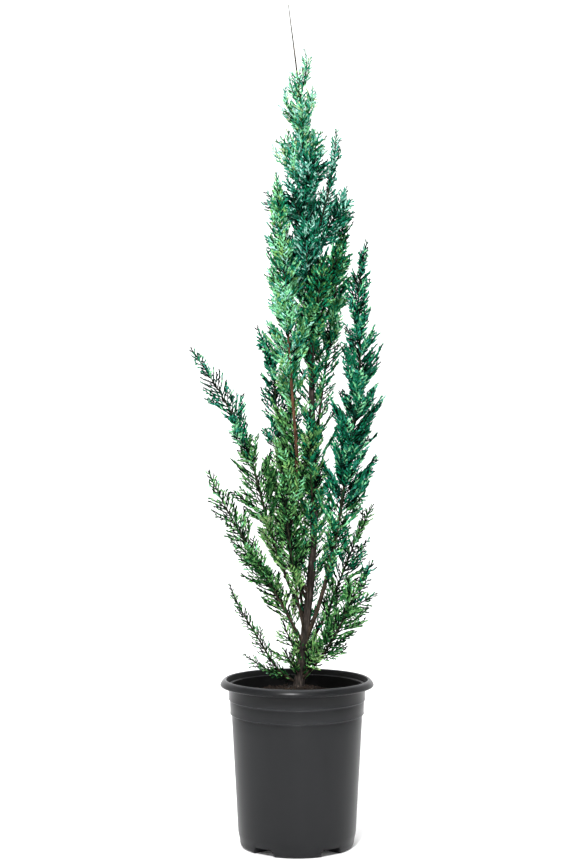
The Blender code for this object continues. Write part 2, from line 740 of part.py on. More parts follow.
def foliage_surface(shoot):
    """Name of the foliage material at a shoot's middle height."""
    middle = shoot.fork + shoot.length / 2.0
    if middle > TOP_FOLIAGE_FROM:
        return "top_foliage"
    if middle > MID_FOLIAGE_FROM:
        return "mid_foliage"
    return "low_foliage"


def grow_shoot(stem, seed, space, cut_heights, surfaces):
    """Makes a shoot's bough, if it has a bare foot, and its foliage mass."""
    shoot = stem.shoot
    cutter = trunk_mesh("cut", cut_heights, CUT_SWELL)
    if shoot.bare:
        bough = stem.tube(shoot.name + "_bough", 0.0, shoot.bare, BOUGH_SIDES)
        boolean(bough, "DIFFERENCE", [cutter])
        finish(bough, surfaces["young_bark"])
        mass = make_mass(stem, shoot.bare + CLEARANCE, seed, space, None)
    else:
        mass = make_mass(stem, 0.0, seed, space, cutter)
    finish(mass, surfaces[foliage_surface(shoot)])


def main():
    """Builds the pot, soil, trunk, boughs and foliage masses."""
    for obj in list(bpy.data.objects):
        bpy.data.objects.remove(obj)

    surfaces = {name: material(name) for name in SURFACES}
    finish(make_pot(), surfaces["pot_plastic"])
    finish(make_soil(), surfaces["potting_mix"])
    heights = trunk_heights()
    finish(trunk_mesh("trunk", heights, 0.0), surfaces["bark"])

    stems = [Stem(shoot) for shoot in LEADERS + SIDE_SHOOTS]
    space = measured_space(stems, heights)
    cut_heights = [-CUT_BELOW] + heights + [TRUNK_HEIGHT + CUT_ABOVE]
    for seed, stem in enumerate(stems):
        grow_shoot(stem, seed, space, cut_heights, surfaces)


main()
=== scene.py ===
"""Potted moonglow juniper: the dressed model, grown and finished round the fixed frame.

Units are metres, +Z is up and -Y is the front. Woodwork follows the same trunk line and shoots as
the solids. Foliage grows on from them by the same seeded rule, carried on to fine scaly cords.
"""
from __future__ import annotations

import json
import logging
import math
import random
from dataclasses import dataclass, field
from enum import Enum
from typing import Iterator

import bpy
import numpy as np
from bpy.types import Material, Mesh, Node, NodeSocket, NodeTree, Object
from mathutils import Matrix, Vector

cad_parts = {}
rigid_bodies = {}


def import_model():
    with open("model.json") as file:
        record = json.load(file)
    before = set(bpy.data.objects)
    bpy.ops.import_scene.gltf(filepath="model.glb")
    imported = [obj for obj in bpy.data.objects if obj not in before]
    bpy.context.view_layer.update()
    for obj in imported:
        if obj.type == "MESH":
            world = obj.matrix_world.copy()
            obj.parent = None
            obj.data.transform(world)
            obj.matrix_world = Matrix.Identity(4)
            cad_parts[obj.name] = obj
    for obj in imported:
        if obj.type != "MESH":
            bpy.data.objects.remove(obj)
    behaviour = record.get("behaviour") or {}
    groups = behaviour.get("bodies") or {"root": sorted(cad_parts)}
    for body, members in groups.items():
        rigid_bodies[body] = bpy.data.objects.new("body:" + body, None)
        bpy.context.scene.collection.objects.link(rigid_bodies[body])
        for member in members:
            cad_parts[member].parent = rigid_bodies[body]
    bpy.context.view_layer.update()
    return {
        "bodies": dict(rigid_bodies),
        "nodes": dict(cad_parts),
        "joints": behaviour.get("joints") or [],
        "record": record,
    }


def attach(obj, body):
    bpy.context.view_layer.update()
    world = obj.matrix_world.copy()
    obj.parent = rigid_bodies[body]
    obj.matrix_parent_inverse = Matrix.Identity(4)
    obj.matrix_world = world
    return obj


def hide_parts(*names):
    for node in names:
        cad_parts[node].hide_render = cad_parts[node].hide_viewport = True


LOG = logging.getLogger("juniper")

FULL_TURN = 2.0 * math.pi
CREASE_ANGLE = 40.0
EVEN = (1.0, 1.0, 1.0)
# Turn from twig to twig in degrees, and the share of it from one fine twig to the next
GOLDEN_ANGLE = 137.5
GOLDEN_SHARE = 0.618
# Seeds: the first of each stem lies so many on, and that of each finer twig so many more
STEM_SEEDS = 1000
FINE_SEEDS = 700000
# The one stem that shows its red bark
RED_STEM = "second"


class Tint(Enum):
    """Base colours of the scale leaves, linear red, green and blue."""

    # SHADE is painted shade: near-black cords that stand for the shade among the sprays
    SHADE = (0.0015, 0.006, 0.0035)
    FOREST = (0.018, 0.110, 0.028)
    LEAF = (0.135, 0.370, 0.115)
    LIME = (0.240, 0.480, 0.150)
    STRAW = (0.370, 0.530, 0.250)
    PINE_TEAL = (0.003, 0.050, 0.030)
    EMERALD = (0.006, 0.190, 0.085)
    TEAL = (0.036, 0.300, 0.200)
    MINT = (0.250, 0.700, 0.360)
    FROST = (0.390, 0.780, 0.640)


class Zone(Enum):
    """Parts of the crown that differ in colour.

    Each has a share by which its cords turn dark towards a spray's tip, a painted shade, then the weights
    of its tints from dark to light.
    """

    TOP = (0.28, {Tint.FOREST: 2, Tint.EMERALD: 2, Tint.TEAL: 4, Tint.MINT: 5, Tint.FROST: 4, Tint.STRAW: 2})
    CROWN = (0.32, {Tint.SHADE: 1, Tint.PINE_TEAL: 3, Tint.EMERALD: 4, Tint.TEAL: 5, Tint.FROST: 6})
    PLUME = (0.30, {
        Tint.SHADE: 1, Tint.FOREST: 1, Tint.EMERALD: 3, Tint.TEAL: 2,
        Tint.LEAF: 2, Tint.MINT: 7, Tint.LIME: 2, Tint.FROST: 3,
    })
    RIGHT = (0.38, {Tint.SHADE: 5, Tint.PINE_TEAL: 4, Tint.EMERALD: 6, Tint.TEAL: 3, Tint.MINT: 3})
    INNER = (0.25, {Tint.SHADE: 3, Tint.FOREST: 3, Tint.EMERALD: 7, Tint.LEAF: 3, Tint.MINT: 3})
    MEADOW = (0.45, {Tint.SHADE: 4, Tint.FOREST: 4, Tint.LEAF: 7, Tint.MINT: 2, Tint.LIME: 2})
    LEFT = (0.60, {Tint.SHADE: 4, Tint.FOREST: 4, Tint.LEAF: 6, Tint.LIME: 6, Tint.STRAW: 3})
    LOW = (0.72, {Tint.SHADE: 6, Tint.FOREST: 6, Tint.LEAF: 6, Tint.MINT: 1})
    FOOT = (0.50, {Tint.SHADE: 3, Tint.FOREST: 3, Tint.LEAF: 5, Tint.LIME: 5, Tint.STRAW: 3})

    def __init__(self, fade: float, mix: dict[Tint, int]) -> None:
        """Keeps one zone's fade and the weights of its tints."""
        self.fade = fade
        self.mix = mix


@dataclass(frozen=True)
class Shoot:
    """One shoot of the plant.

    Girth is the wood's radius at the fork and reach is how far side twigs stand off the stem. A
    bare foot is a bough, and foliage is dense from dense_from, a share of the mass's length.
    """

    name: str
    zone: Zone
    fork: float
    bearing: float
    length: float
    leans: tuple
    girth: float
    reach: float
    bare: float = 0.0
    dense_from: float = 1.0


SHOOTS = (
    Shoot("outer_left", Zone.LEFT, 0.070, 188, 0.320, (28, 18, 14, 28, 37), 0.0022, 0.018, 0.045),
    Shoot("low_left", Zone.LEFT, 0.045, 212, 0.222, (32, 33, 34, 27), 0.0018, 0.014, 0.036),
    Shoot("left_fan", Zone.LEFT, 0.020, 158, 0.165, (5, 32, 58), 0.0017, 0.014, 0.032),
    Shoot("second", Zone.PLUME, 0.100, 228, 0.460, (53, -15, 8, 5, 6, 8), 0.0026, 0.020, 0.070, 0.42),
    Shoot("third", Zone.LEFT, 0.090, 145, 0.312, (35, 8, 5, 5, 33), 0.0019, 0.016, 0.045, 0.62),
    Shoot("right", Zone.RIGHT, 0.044, 345, 0.442, (24, 13, 9, 8, -4, 16), 0.0027, 0.021, 0.060, 0.22),
    Shoot("right_inner", Zone.INNER, 0.232, 50, 0.313, (8, 12, 11, 6), 0.0018, 0.015, 0.060, 0.30),
    Shoot("right_mid", Zone.LOW, 0.034, 25, 0.182, (40, 25, 24, 32), 0.0018, 0.015, 0.034),
    Shoot("low_right", Zone.LOW, 0.006, 322, 0.166, (52, 36, 27, 38), 0.0019, 0.017, 0.024),
    Shoot("low_right_outer", Zone.LOW, 0.008, 5, 0.126, (28, 40, 62), 0.0015, 0.012, 0.022),
    Shoot("back", Zone.LEFT, 0.060, 108, 0.310, (26, 10, 6, 14), 0.0019, 0.015, 0.045),
    Shoot("front_fan", Zone.LEFT, 0.055, 248, 0.190, (30, 18, 12), 0.0016, 0.014, 0.036),
    Shoot("wisp", Zone.LOW, 0.004, 200, 0.138, (70, 30, 33, 21), 0.0013, 0.008),
    Shoot("wisp_low", Zone.LOW, 0.004, 172, 0.069, (76, 63, 54), 0.0012, 0.008),
    Shoot("foot_left", Zone.FOOT, 0.012, 232, 0.044, (50, 42, 35), 0.0012, 0.012),
    Shoot("foot_right", Zone.FOOT, 0.010, 305, 0.060, (50, 42, 32), 0.0012, 0.013),
    Shoot("low_front", Zone.FOOT, 0.024, 196, 0.055, (28, 24, 22), 0.0011, 0.010),
    Shoot("mid_back", Zone.LEFT, 0.150, 92, 0.130, (30, 16, 10), 0.0013, 0.014),
    Shoot("mid_front", Zone.LEFT, 0.180, 258, 0.120, (26, 12, 8), 0.0013, 0.013),
    Shoot("upper_back", Zone.INNER, 0.330, 92, 0.130, (30, 20, 12), 0.0014, 0.014, 0.0, 0.10),
    Shoot("upper_front", Zone.INNER, 0.350, 285, 0.110, (30, 20, 10), 0.0013, 0.013, 0.0, 0.10),
    Shoot("crest_right", Zone.CROWN, 0.468, 340, 0.136, (26, 13, 2), 0.0013, 0.009, 0.0, 0.10),
    Shoot("crown_low_right", Zone.INNER, 0.394, 325, 0.090, (21, 28, 43), 0.0012, 0.013, 0.0, 0.10),
    Shoot("crown_low_back", Zone.CROWN, 0.394, 130, 0.100, (33, 26, 18), 0.0012, 0.013, 0.0, 0.10),
    Shoot("crown_low_front", Zone.CROWN, 0.415, 255, 0.095, (32, 22, 12), 0.0012, 0.013, 0.0, 0.10),
    Shoot("crown_right", Zone.CROWN, 0.457, 15, 0.093, (27, 31, 19), 0.0012, 0.013, 0.0, 0.10),
    Shoot("crown_left", Zone.CROWN, 0.432, 168, 0.076, (41, 34, 34), 0.0012, 0.013, 0.0, 0.10),
    Shoot("crown_back", Zone.CROWN, 0.470, 85, 0.095, (34, 22, 12), 0.0012, 0.013, 0.0, 0.10),
    Shoot("crown_front_left", Zone.CROWN, 0.489, 245, 0.075, (55, 44, 33), 0.0011, 0.012, 0.0, 0.10),
    Shoot("crown_front", Zone.CROWN, 0.505, 278, 0.080, (34, 24, 12), 0.0011, 0.012, 0.0, 0.10),
    Shoot("crown_mid_left", Zone.CROWN, 0.490, 190, 0.062, (52, 48, 40), 0.0011, 0.012, 0.0, 0.10),
    Shoot("crown_mid_right", Zone.CROWN, 0.523, 312, 0.056, (34, 29, 25), 0.0011, 0.012, 0.0, 0.10),
    Shoot("crown_high_left", Zone.TOP, 0.525, 155, 0.080, (24, 20, -8), 0.0010, 0.012, 0.0, 0.10),
    Shoot("crown_high_back", Zone.TOP, 0.545, 80, 0.070, (32, 22, 12), 0.0010, 0.011, 0.0, 0.10),
    Shoot("crown_high_right", Zone.TOP, 0.553, 25, 0.052, (27, 24, 22), 0.0010, 0.011, 0.0, 0.10),
    Shoot("crown_high_front", Zone.TOP, 0.572, 265, 0.062, (30, 20, 10), 0.0010, 0.010, 0.0, 0.10),
    Shoot("tip_left", Zone.TOP, 0.588, 205, 0.060, (24, 30, -5), 0.0009, 0.009, 0.0, 0.10),
    Shoot("tip_right", Zone.TOP, 0.598, 330, 0.050, (29, 16, 6), 0.0009, 0.009, 0.0, 0.10),
    Shoot("tip_back", Zone.TOP, 0.618, 150, 0.044, (24, 19, 14), 0.0009, 0.007, 0.0, 0.10),
    Shoot("tip_front", Zone.TOP, 0.626, 350, 0.063, (6, 15, -20), 0.0009, 0.005, 0.0, 0.10),
)


def new_material(name: str) -> tuple[Material, NodeTree, Node]:
    """Starts a node material.

    Args:
        name: The material's name.

    Returns:
        The material, its node tree and its Principled shader.
    """
    material = bpy.data.materials.new(name)
    material.use_nodes = True
    tree = material.node_tree
    return material, tree, tree.nodes["Principled BSDF"]


def add_node(tree: NodeTree, kind: str, **inputs: object) -> Node:
    """Adds a node and sets its inputs.

    Args:
        tree: The tree that gets the node.
        kind: The node's type.
        inputs: Values by input name, with _ for a blank.

    Returns:
        The node.
    """
    node = tree.nodes.new(kind)
    for name, value in inputs.items():
        node.inputs[name.replace("_", " ")].default_value = value
    return node


def colour_ramp(tree: NodeTree, source: NodeSocket, stops: list[tuple[float, tuple]]) -> NodeSocket:
    """Turns a value into a colour.

    Args:
        tree: The tree that gets the node.
        source: The socket that gives the value.
        stops: Place and linear colour of each stop.

    Returns:
        The socket that gives the colour.
    """
    node = tree.nodes.new("ShaderNodeValToRGB")
    elements = node.color_ramp.elements
    while len(elements) < len(stops):
        elements.new(0.5)
    for element, (place, colour) in zip(elements, stops):
        element.position = place
        element.color = (*colour, 1.0)
    tree.links.new(source, node.inputs["Fac"])
    return node.outputs["Color"]


def remap(tree: NodeTree, source: NodeSocket, **ends: float) -> NodeSocket:
    """Maps a value from one range to another.

    Args:
        tree: The tree that gets the node.
        source: The socket that gives the value.
        ends: Ends of the two ranges, by input name.

    Returns:
        The socket that gives the result.
    """
    node = add_node(tree, "ShaderNodeMapRange", **ends)
    tree.links.new(source, node.inputs["Value"])
    return node.outputs["Result"]


def noise_on_object(tree: NodeTree, scale: float, stretch: tuple, detail: float) -> NodeSocket:
    """Adds a noise texture on stretched Object coordinates.

    Args:
        tree: The tree that gets the nodes.
        scale: Cells in each metre.
        stretch: Scale factors along X, Y and Z.
        detail: Octaves of finer noise.

    Returns:
        The socket that gives the noise.
    """
    where = tree.nodes.new("ShaderNodeTexCoord")
    mapping = add_node(tree, "ShaderNodeMapping", Scale=stretch)
    noise = add_node(tree, "ShaderNodeTexNoise", Scale=scale, Detail=detail, Roughness=0.6)
    tree.links.new(where.outputs["Object"], mapping.inputs["Vector"])
    tree.links.new(mapping.outputs["Vector"], noise.inputs["Vector"])
    return noise.outputs["Fac"]


def add_bump(tree: NodeTree, height: NodeSocket, shader: Node, bump: tuple) -> None:
    """Feeds a height into the shader's normal.

    Args:
        tree: The tree that gets the node.
        height: The socket that gives the height.
        shader: The shader.
        bump: The bump's strength and its depth in metres.
    """
    node = add_node(tree, "ShaderNodeBump", Strength=bump[0], Distance=bump[1])
    tree.links.new(height, node.inputs["Height"])
    tree.links.new(node.outputs["Normal"], shader.inputs["Normal"])


def mottled(
    name: str, noise: tuple, stops: list, roughness: float, specular: float, bump: tuple = ()
) -> Material:
    """Makes a finish whose colour follows one noise, which may raise the surface too.

    Args:
        name: The material's name.
        noise: The noise's scale, stretch and detail.
        stops: Place and linear colour of each stop of its ramp.
        roughness: The finish's roughness.
        specular: Its specular level.
        bump: Strength and depth of its bump, or nothing.

    Returns:
        The material.
    """
    material, tree, shader = new_material(name)
    pattern = noise_on_object(tree, *noise)
    tree.links.new(colour_ramp(tree, pattern, stops), shader.inputs["Base Color"])
    shader.inputs["Roughness"].default_value = roughness
    shader.inputs["Specular IOR Level"].default_value = specular
    if bump:
        add_bump(tree, pattern, shader, bump)
    return material


@dataclass(frozen=True)
class MouldedPlastic:
    """Charcoal nursery-pot plastic, clouded and satin, more polished above polished_from.

    Bands are heights with the tone there: painted highlights on the collars' lower edges and the lip's crest,
    and painted shade under the collars and the lip and on the lip's face.
    """

    name: str = "pot_plastic_skin"
    colour: tuple = (0.0300, 0.0311, 0.0333)
    worn: tuple = (0.0410, 0.0424, 0.0454)
    # Painted light by height: tones near 1 are painted highlights, the lowest tones painted shade
    painted_light_bands: tuple = (
        (0.1360, 0.36), (0.1386, 0.30), (0.1394, 1.00), (0.1404, 0.95), (0.1412, 0.48), (0.1470, 0.34),
        (0.1536, 0.24), (0.1544, 0.95), (0.1554, 0.90), (0.1562, 0.48), (0.1620, 0.30), (0.1686, 0.20),
        (0.1700, 0.28), (0.1757, 0.26), (0.1766, 0.90), (0.1776, 0.80),
    )
    roughness: float = 0.36
    polished: float = 0.28
    polished_from: float = 0.138
    polish_blend: float = 0.004
    specular: float = 0.13
    cloud: tuple = (9.0, (1.0, 1.0, 0.35), 4.0)
    cloud_ends: tuple = (0.35, 0.75)
    grain: tuple = (1400.0, EVEN, 2.0)
    grain_bump: tuple = (0.10, 0.0002)

    def make(self) -> Material:
        """Makes the clouded plastic with its bands of painted highlight and shade.

        Returns:
            The pot's material.
        """
        material, tree, shader = new_material(self.name)
        cloud = noise_on_object(tree, *self.cloud)
        base = colour_ramp(tree, cloud, list(zip(self.cloud_ends, (self.colour, self.worn))))
        split = tree.nodes.new("ShaderNodeSeparateXYZ")
        tree.links.new(tree.nodes.new("ShaderNodeTexCoord").outputs["Object"], split.inputs["Vector"])
        height = split.outputs["Z"]
        low, high = self.painted_light_bands[0][0], self.painted_light_bands[-1][0]
        tones = [((place - low) / (high - low), (tone, tone, tone)) for place, tone in self.painted_light_bands]
        # Painted highlight and shade: the band tones by height scale the plastic's colour
        band = colour_ramp(tree, remap(tree, height, From_Min=low, From_Max=high), tones)
        blend = tree.nodes.new("ShaderNodeVectorMath")
        blend.operation = "MULTIPLY"
        tree.links.new(base, blend.inputs[0])
        tree.links.new(band, blend.inputs[1])
        tree.links.new(blend.outputs["Vector"], shader.inputs["Base Color"])
        add_bump(tree, noise_on_object(tree, *self.grain), shader, self.grain_bump)
        rough = {"From_Min": self.polished_from - self.polish_blend, "From_Max": self.polished_from}
        rough |= {"To_Min": self.roughness, "To_Max": self.polished}
        tree.links.new(remap(tree, height, **rough), shader.inputs["Roughness"])
        shader.inputs["Specular IOR Level"].default_value = self.specular
        return material


@dataclass(frozen=True)
class Crumb:
    """Dark moist mix: peat, grit and shredded bark."""

    name: str
    dark: tuple
    light: tuple
    speck: tuple = (420.0, EVEN, 3.0)
    roughness: float = 0.92
    specular: float = 0.15
    bump: tuple = (0.6, 0.0008)

    def make(self) -> Material:
        """Returns the mix's material."""
        stops = [(0.38, self.dark), (0.72, self.light)]
        return mottled(self.name, self.speck, stops, self.roughness, self.specular, self.bump)


@dataclass(frozen=True)
class Bark:
    """Fibrous bark whose strips run along the limb."""

    name: str
    furrow: tuple
    ridge: tuple
    flake: tuple
    strip: tuple = (520.0, (1.0, 1.0, 0.16), 4.0)
    roughness: float = 0.88
    specular: float = 0.15
    bump: tuple = (0.7, 0.0006)

    def make(self) -> Material:
        """Returns the bark's material."""
        stops = [(0.34, self.furrow), (0.56, self.ridge), (0.76, self.flake)]
        return mottled(self.name, self.strip, stops, self.roughness, self.specular, self.bump)


@dataclass(frozen=True)
class ScaleLeaf:
    """Waxy scale leaves in one tint, with a slight change of tone from cord to cord."""

    tint: Tint
    tone: tuple = (60.0, EVEN, 2.0)
    darker: tuple = (0.72, 0.76, 0.74)
    lighter: tuple = (1.25, 1.18, 1.22)
    roughness: float = 0.66
    specular: float = 0.04

    def make(self) -> Material:
        """Makes the leaf finish in its tint.

        Returns:
            The leaf material.
        """
        dark = tuple(part * share for part, share in zip(self.tint.value, self.darker))
        light = tuple(part * share for part, share in zip(self.tint.value, self.lighter))
        name = "leaf_" + self.tint.name.lower()
        return mottled(name, self.tone, [(0.32, dark), (0.70, light)], self.roughness, self.specular)


@dataclass(frozen=True)
class StudioPaper:
    """Plain pale backdrop paper."""

    colour: tuple = (0.90, 0.90, 0.90, 1.0)
    roughness: float = 0.95

    def make(self) -> Material:
        """Makes the plain paper.

        Returns:
            The backdrop's material.
        """
        material, _, shader = new_material("studio_paper")
        shader.inputs["Base Color"].default_value = self.colour
        shader.inputs["Roughness"].default_value = self.roughness
        return material


class NodeSketch:
    """A geometry node tree under construction, with named inputs."""

    def __init__(self, name: str) -> None:
        """Starts a tree with one geometry input and one geometry output.

        Args:
            name: The tree's name.
        """
        self.tree = bpy.data.node_groups.new(name, "GeometryNodeTree")
        face = self.tree.interface
        face.new_socket(name="Geometry", in_out="INPUT", socket_type="NodeSocketGeometry")
        face.new_socket(name="Geometry", in_out="OUTPUT", socket_type="NodeSocketGeometry")
        self.inlet = self.tree.nodes.new("NodeGroupInput")
        self.outlet = self.tree.nodes.new("NodeGroupOutput")
        self.keys: dict[str, str] = {}

    def ask(self, name: str, kind: str, value: object = None) -> NodeSocket:
        """Adds a named input.

        Args:
            name: The input's name.
            kind: Float, Int or Material.
            value: Its default, if it has one.

        Returns:
            The socket that gives the input's value inside the tree.
        """
        made = self.tree.interface.new_socket(name=name, in_out="INPUT", socket_type="NodeSocket" + kind)
        if value is not None:
            made.default_value = value
        self.keys[name] = made.identifier
        return self.inlet.outputs[name]

    def node(self, kind: str, **values: object) -> Node:
        """Adds a node and sets its properties, or its inputs where it has no such property.

        Args:
            kind: The node's type.
            values: Values by property or input name, with _ for a blank.

        Returns:
            The node.
        """
        made = self.tree.nodes.new(kind)
        for name, value in values.items():
            if hasattr(made, name):
                setattr(made, name, value)
            else:
                self.set(made.inputs[name.replace("_", " ")], value)
        return made

    def set(self, socket: NodeSocket, value: object) -> None:
        """Links a socket to another, or sets its value.

        Args:
            socket: The socket that is fed.
            value: Another socket, or a plain value.
        """
        if isinstance(value, NodeSocket):
            self.tree.links.new(value, socket)
        else:
            socket.default_value = value

    def math(self, operation: str, first: object, second: object) -> NodeSocket:
        """Adds a math node.

        Args:
            operation: What it does.
            first: Its first input, a socket or a number.
            second: Its second input, the same.

        Returns:
            The socket that gives the result.
        """
        made = self.node("ShaderNodeMath", operation=operation)
        self.set(made.inputs[0], first)
        self.set(made.inputs[1], second)
        return made.outputs[0]

    def scaled(self, vector: NodeSocket, factor: object) -> NodeSocket:
        """Scales a vector by a number.

        Args:
            vector: The socket that gives the vector.
            factor: A socket or a number.

        Returns:
            The socket that gives the scaled vector.
        """
        made = self.node("ShaderNodeVectorMath", operation="SCALE", Scale=factor)
        self.set(made.inputs[0], vector)
        return made.outputs[0]

    def attribute(self, name: str) -> NodeSocket:
        """Returns a socket that reads a named float attribute."""
        return self.node("GeometryNodeInputNamedAttribute", data_type="FLOAT", Name=name).outputs["Attribute"]

    def paths(self) -> NodeSocket:
        """Returns the incoming loose edges as curves."""
        return self.node("GeometryNodeMeshToCurve", Mesh=self.inlet.outputs["Geometry"]).outputs[0]

    def tube(self, curve: NodeSocket, sides: object, girth: object) -> NodeSocket:
        """Sweeps a capped round along a curve.

        Args:
            curve: The curve.
            sides: How many sides the round has.
            girth: Its radius along the curve.

        Returns:
            The tube's geometry.
        """
        ring = self.node("GeometryNodeCurvePrimitiveCircle", Resolution=sides, Radius=1.0).outputs[0]
        values = {"Curve": curve, "Profile_Curve": ring, "Scale": girth, "Fill_Caps": True}
        return self.node("GeometryNodeCurveToMesh", **values).outputs[0]

    def close(self, geometry: NodeSocket) -> None:
        """Realizes instances, sets the material that is asked for and ends the tree.

        Args:
            geometry: The socket that gives the finished geometry.
        """
        realized = self.node("GeometryNodeRealizeInstances", Geometry=geometry)
        shaded = self.node("GeometryNodeSetShadeSmooth", Geometry=realized.outputs[0])
        material = self.ask("Material", "Material")
        dressed = self.node("GeometryNodeSetMaterial", Geometry=shaded.outputs[0], Material=material)
        self.tree.links.new(dressed.outputs[0], self.outlet.inputs["Geometry"])

    def grow(self, obj: Object, material: Material, **values: object) -> None:
        """Runs the tree on an object and keeps the result as its plain mesh.

        Args:
            obj: The object that carries the paths or faces.
            material: The material that the tree sets.
            values: Named inputs of the tree.
        """
        modifier = obj.modifiers.new("grow", "NODES")
        modifier.node_group = self.tree
        modifier[self.keys["Material"]] = material
        for name, value in values.items():
            modifier[self.keys[name]] = value
        obj.update_tag()
        bpy.context.view_layer.update()
        shaped = obj.evaluated_get(bpy.context.evaluated_depsgraph_get())
        mesh = bpy.data.meshes.new_from_object(shaped)
        obj.modifiers.clear()
        old = obj.data
        obj.data = mesh
        bpy.data.meshes.remove(old)
        mesh.name = obj.name
        if not mesh.materials:
            mesh.materials.append(material)


def cord_sketch() -> NodeSketch:
    """Builds the tree that turns paths into scaly cords, notched and turned ring by ring.

    Returns:
        The tree, with inputs for rings, ranks, notch and twist.
    """
    sketch = NodeSketch("scaly_cords")
    rings = sketch.ask("Rings", "Int", 4)
    ranks = sketch.ask("Ranks", "Int", 3)
    notch = sketch.ask("Notch", "Float", 0.34)
    twist = sketch.ask("Twist", "Float", 1.047)
    smooth = sketch.node("GeometryNodeCurveSplineType", spline_type="CATMULL_ROM", Curve=sketch.paths())
    fine = sketch.node("GeometryNodeResampleCurve", Curve=smooth.outputs[0], Count=rings)
    odd = sketch.math("MODULO", sketch.node("GeometryNodeSplineParameter").outputs["Index"], 2.0)
    scale = sketch.math("SUBTRACT", 1.0, sketch.math("MULTIPLY", odd, notch))
    girth = sketch.math("MULTIPLY", sketch.attribute("girth"), scale)
    tilt = sketch.math("MULTIPLY", odd, twist)
    turned = sketch.node("GeometryNodeSetCurveTilt", Curve=fine.outputs[0], Tilt=tilt)
    sketch.close(sketch.tube(turned.outputs[0], ranks, girth))
    return sketch


def limb_sketch() -> NodeSketch:
    """Builds the tree that turns centre lines into limbs with raised bark.

    Returns:
        The tree, with inputs for sides, relief and grain.
    """
    sketch = NodeSketch("barked_limbs")
    sides = sketch.ask("Sides", "Int", 12)
    relief = sketch.ask("Relief", "Float", 0.30)
    grain = sketch.ask("Grain", "Float", 900.0)
    girth = sketch.attribute("girth")
    tube = sketch.tube(sketch.paths(), sides, girth)
    strips = (1.0, 1.0, 0.14)
    squash = sketch.node("ShaderNodeVectorMath", operation="MULTIPLY")
    sketch.set(squash.inputs[0], sketch.node("GeometryNodeInputPosition").outputs[0])
    squash.inputs[1].default_value = strips
    noise = sketch.node("ShaderNodeTexNoise", Vector=squash.outputs[0], Scale=grain, Detail=3.0)
    lift = sketch.math("MULTIPLY", sketch.math("SUBTRACT", noise.outputs[0], 0.5), relief)
    normal = sketch.node("GeometryNodeInputNormal").outputs[0]
    push = sketch.scaled(normal, sketch.math("MULTIPLY", lift, girth))
    moved = sketch.node("GeometryNodeSetPosition", Geometry=tube, Offset=push)
    sketch.close(moved.outputs[0])
    return sketch


def crumb_sketch() -> NodeSketch:
    """Builds the tree that strews turned and flattened chips over a surface.

    Returns:
        The tree, with inputs for density, least and greatest size, and seed.
    """
    sketch = NodeSketch("strewn_chips")
    density = sketch.ask("Density", "Float", 130000.0)
    small = sketch.ask("Small", "Float", 0.0008)
    large = sketch.ask("Large", "Float", 0.0026)
    seed = sketch.ask("Seed", "Int", 3)
    ground = sketch.inlet.outputs["Geometry"]
    points = sketch.node("GeometryNodeDistributePointsOnFaces", Mesh=ground, Density=density, Seed=seed)
    chip = sketch.node("GeometryNodeMeshIcoSphere", Radius=1.0, Subdivisions=1)
    any_turn = (6.283, 6.283, 6.283)
    slim, stout = (0.4, 0.3, 0.25), (1.6, 0.8, 0.6)
    spin = sketch.node("FunctionNodeRandomValue", data_type="FLOAT_VECTOR")
    spin.inputs[1].default_value = any_turn
    size = sketch.node("FunctionNodeRandomValue", data_type="FLOAT")
    sketch.set(size.inputs[2], small)
    sketch.set(size.inputs[3], large)
    shape = sketch.node("FunctionNodeRandomValue", data_type="FLOAT_VECTOR", Seed=11)
    shape.inputs[0].default_value = slim
    shape.inputs[1].default_value = stout
    values = {
        "Points": points.outputs[0],
        "Instance": chip.outputs[0],
        "Rotation": spin.outputs[0],
        "Scale": sketch.scaled(shape.outputs[0], size.outputs[1]),
    }
    sketch.close(sketch.node("GeometryNodeInstanceOnPoints", **values).outputs[0])
    return sketch


def place(name: str, data: bpy.types.ID) -> Object:
    """Adds an object to the scene.

    Args:
        name: The object's name.
        data: Its mesh, light or camera.

    Returns:
        The object.
    """
    obj = bpy.data.objects.new(name, data)
    bpy.context.scene.collection.objects.link(obj)
    return obj


def path_object(name: str, paths: list[list[Vector]], girths: list[list[float]]) -> Object:
    """Makes an object whose loose edges follow paths, with a girth at each point.

    Args:
        name: The object's name.
        paths: Points of each path.
        girths: Radius at each of those points.

    Returns:
        The object.
    """
    places = np.array([tuple(spot) for path in paths for spot in path], dtype=np.float32)
    radii = np.array([value for row in girths for value in row], dtype=np.float32)
    starts = np.ones(len(places), dtype=bool)
    starts[np.cumsum([len(path) for path in paths]) - 1] = False
    starts = np.flatnonzero(starts)
    edges = np.stack([starts, starts + 1], 1).astype(np.int32)
    mesh = bpy.data.meshes.new(name)
    mesh.vertices.add(len(places))
    mesh.vertices.foreach_set("co", places.ravel())
    mesh.edges.add(len(edges))
    mesh.edges.foreach_set("vertices", edges.ravel())
    mesh.attributes.new("girth", "FLOAT", "POINT").data.foreach_set("value", radii)
    mesh.update()
    return place(name, mesh)


def mesh_object(name: str, vertices: list, faces: list, material: Material) -> Object:
    """Makes a smooth-shaded mesh object with sharp creases.

    Args:
        name: The object's name.
        vertices: Its points.
        faces: Its faces as rows of indices.
        material: Its material.

    Returns:
        The object.
    """
    mesh = bpy.data.meshes.new(name)
    mesh.from_pydata([tuple(v) for v in vertices], [], faces)
    mesh.update()
    mesh.shade_smooth()
    mesh.set_sharp_from_angle(angle=math.radians(CREASE_ANGLE))
    mesh.materials.append(material)
    return place(name, mesh)


def ring_of(radius: float, height: float, columns: int) -> list[Vector]:
    """Returns the points of a level ring round the Z axis."""
    turns = [FULL_TURN * c / columns for c in range(columns)]
    return [Vector((radius * math.cos(turn), radius * math.sin(turn), height)) for turn in turns]


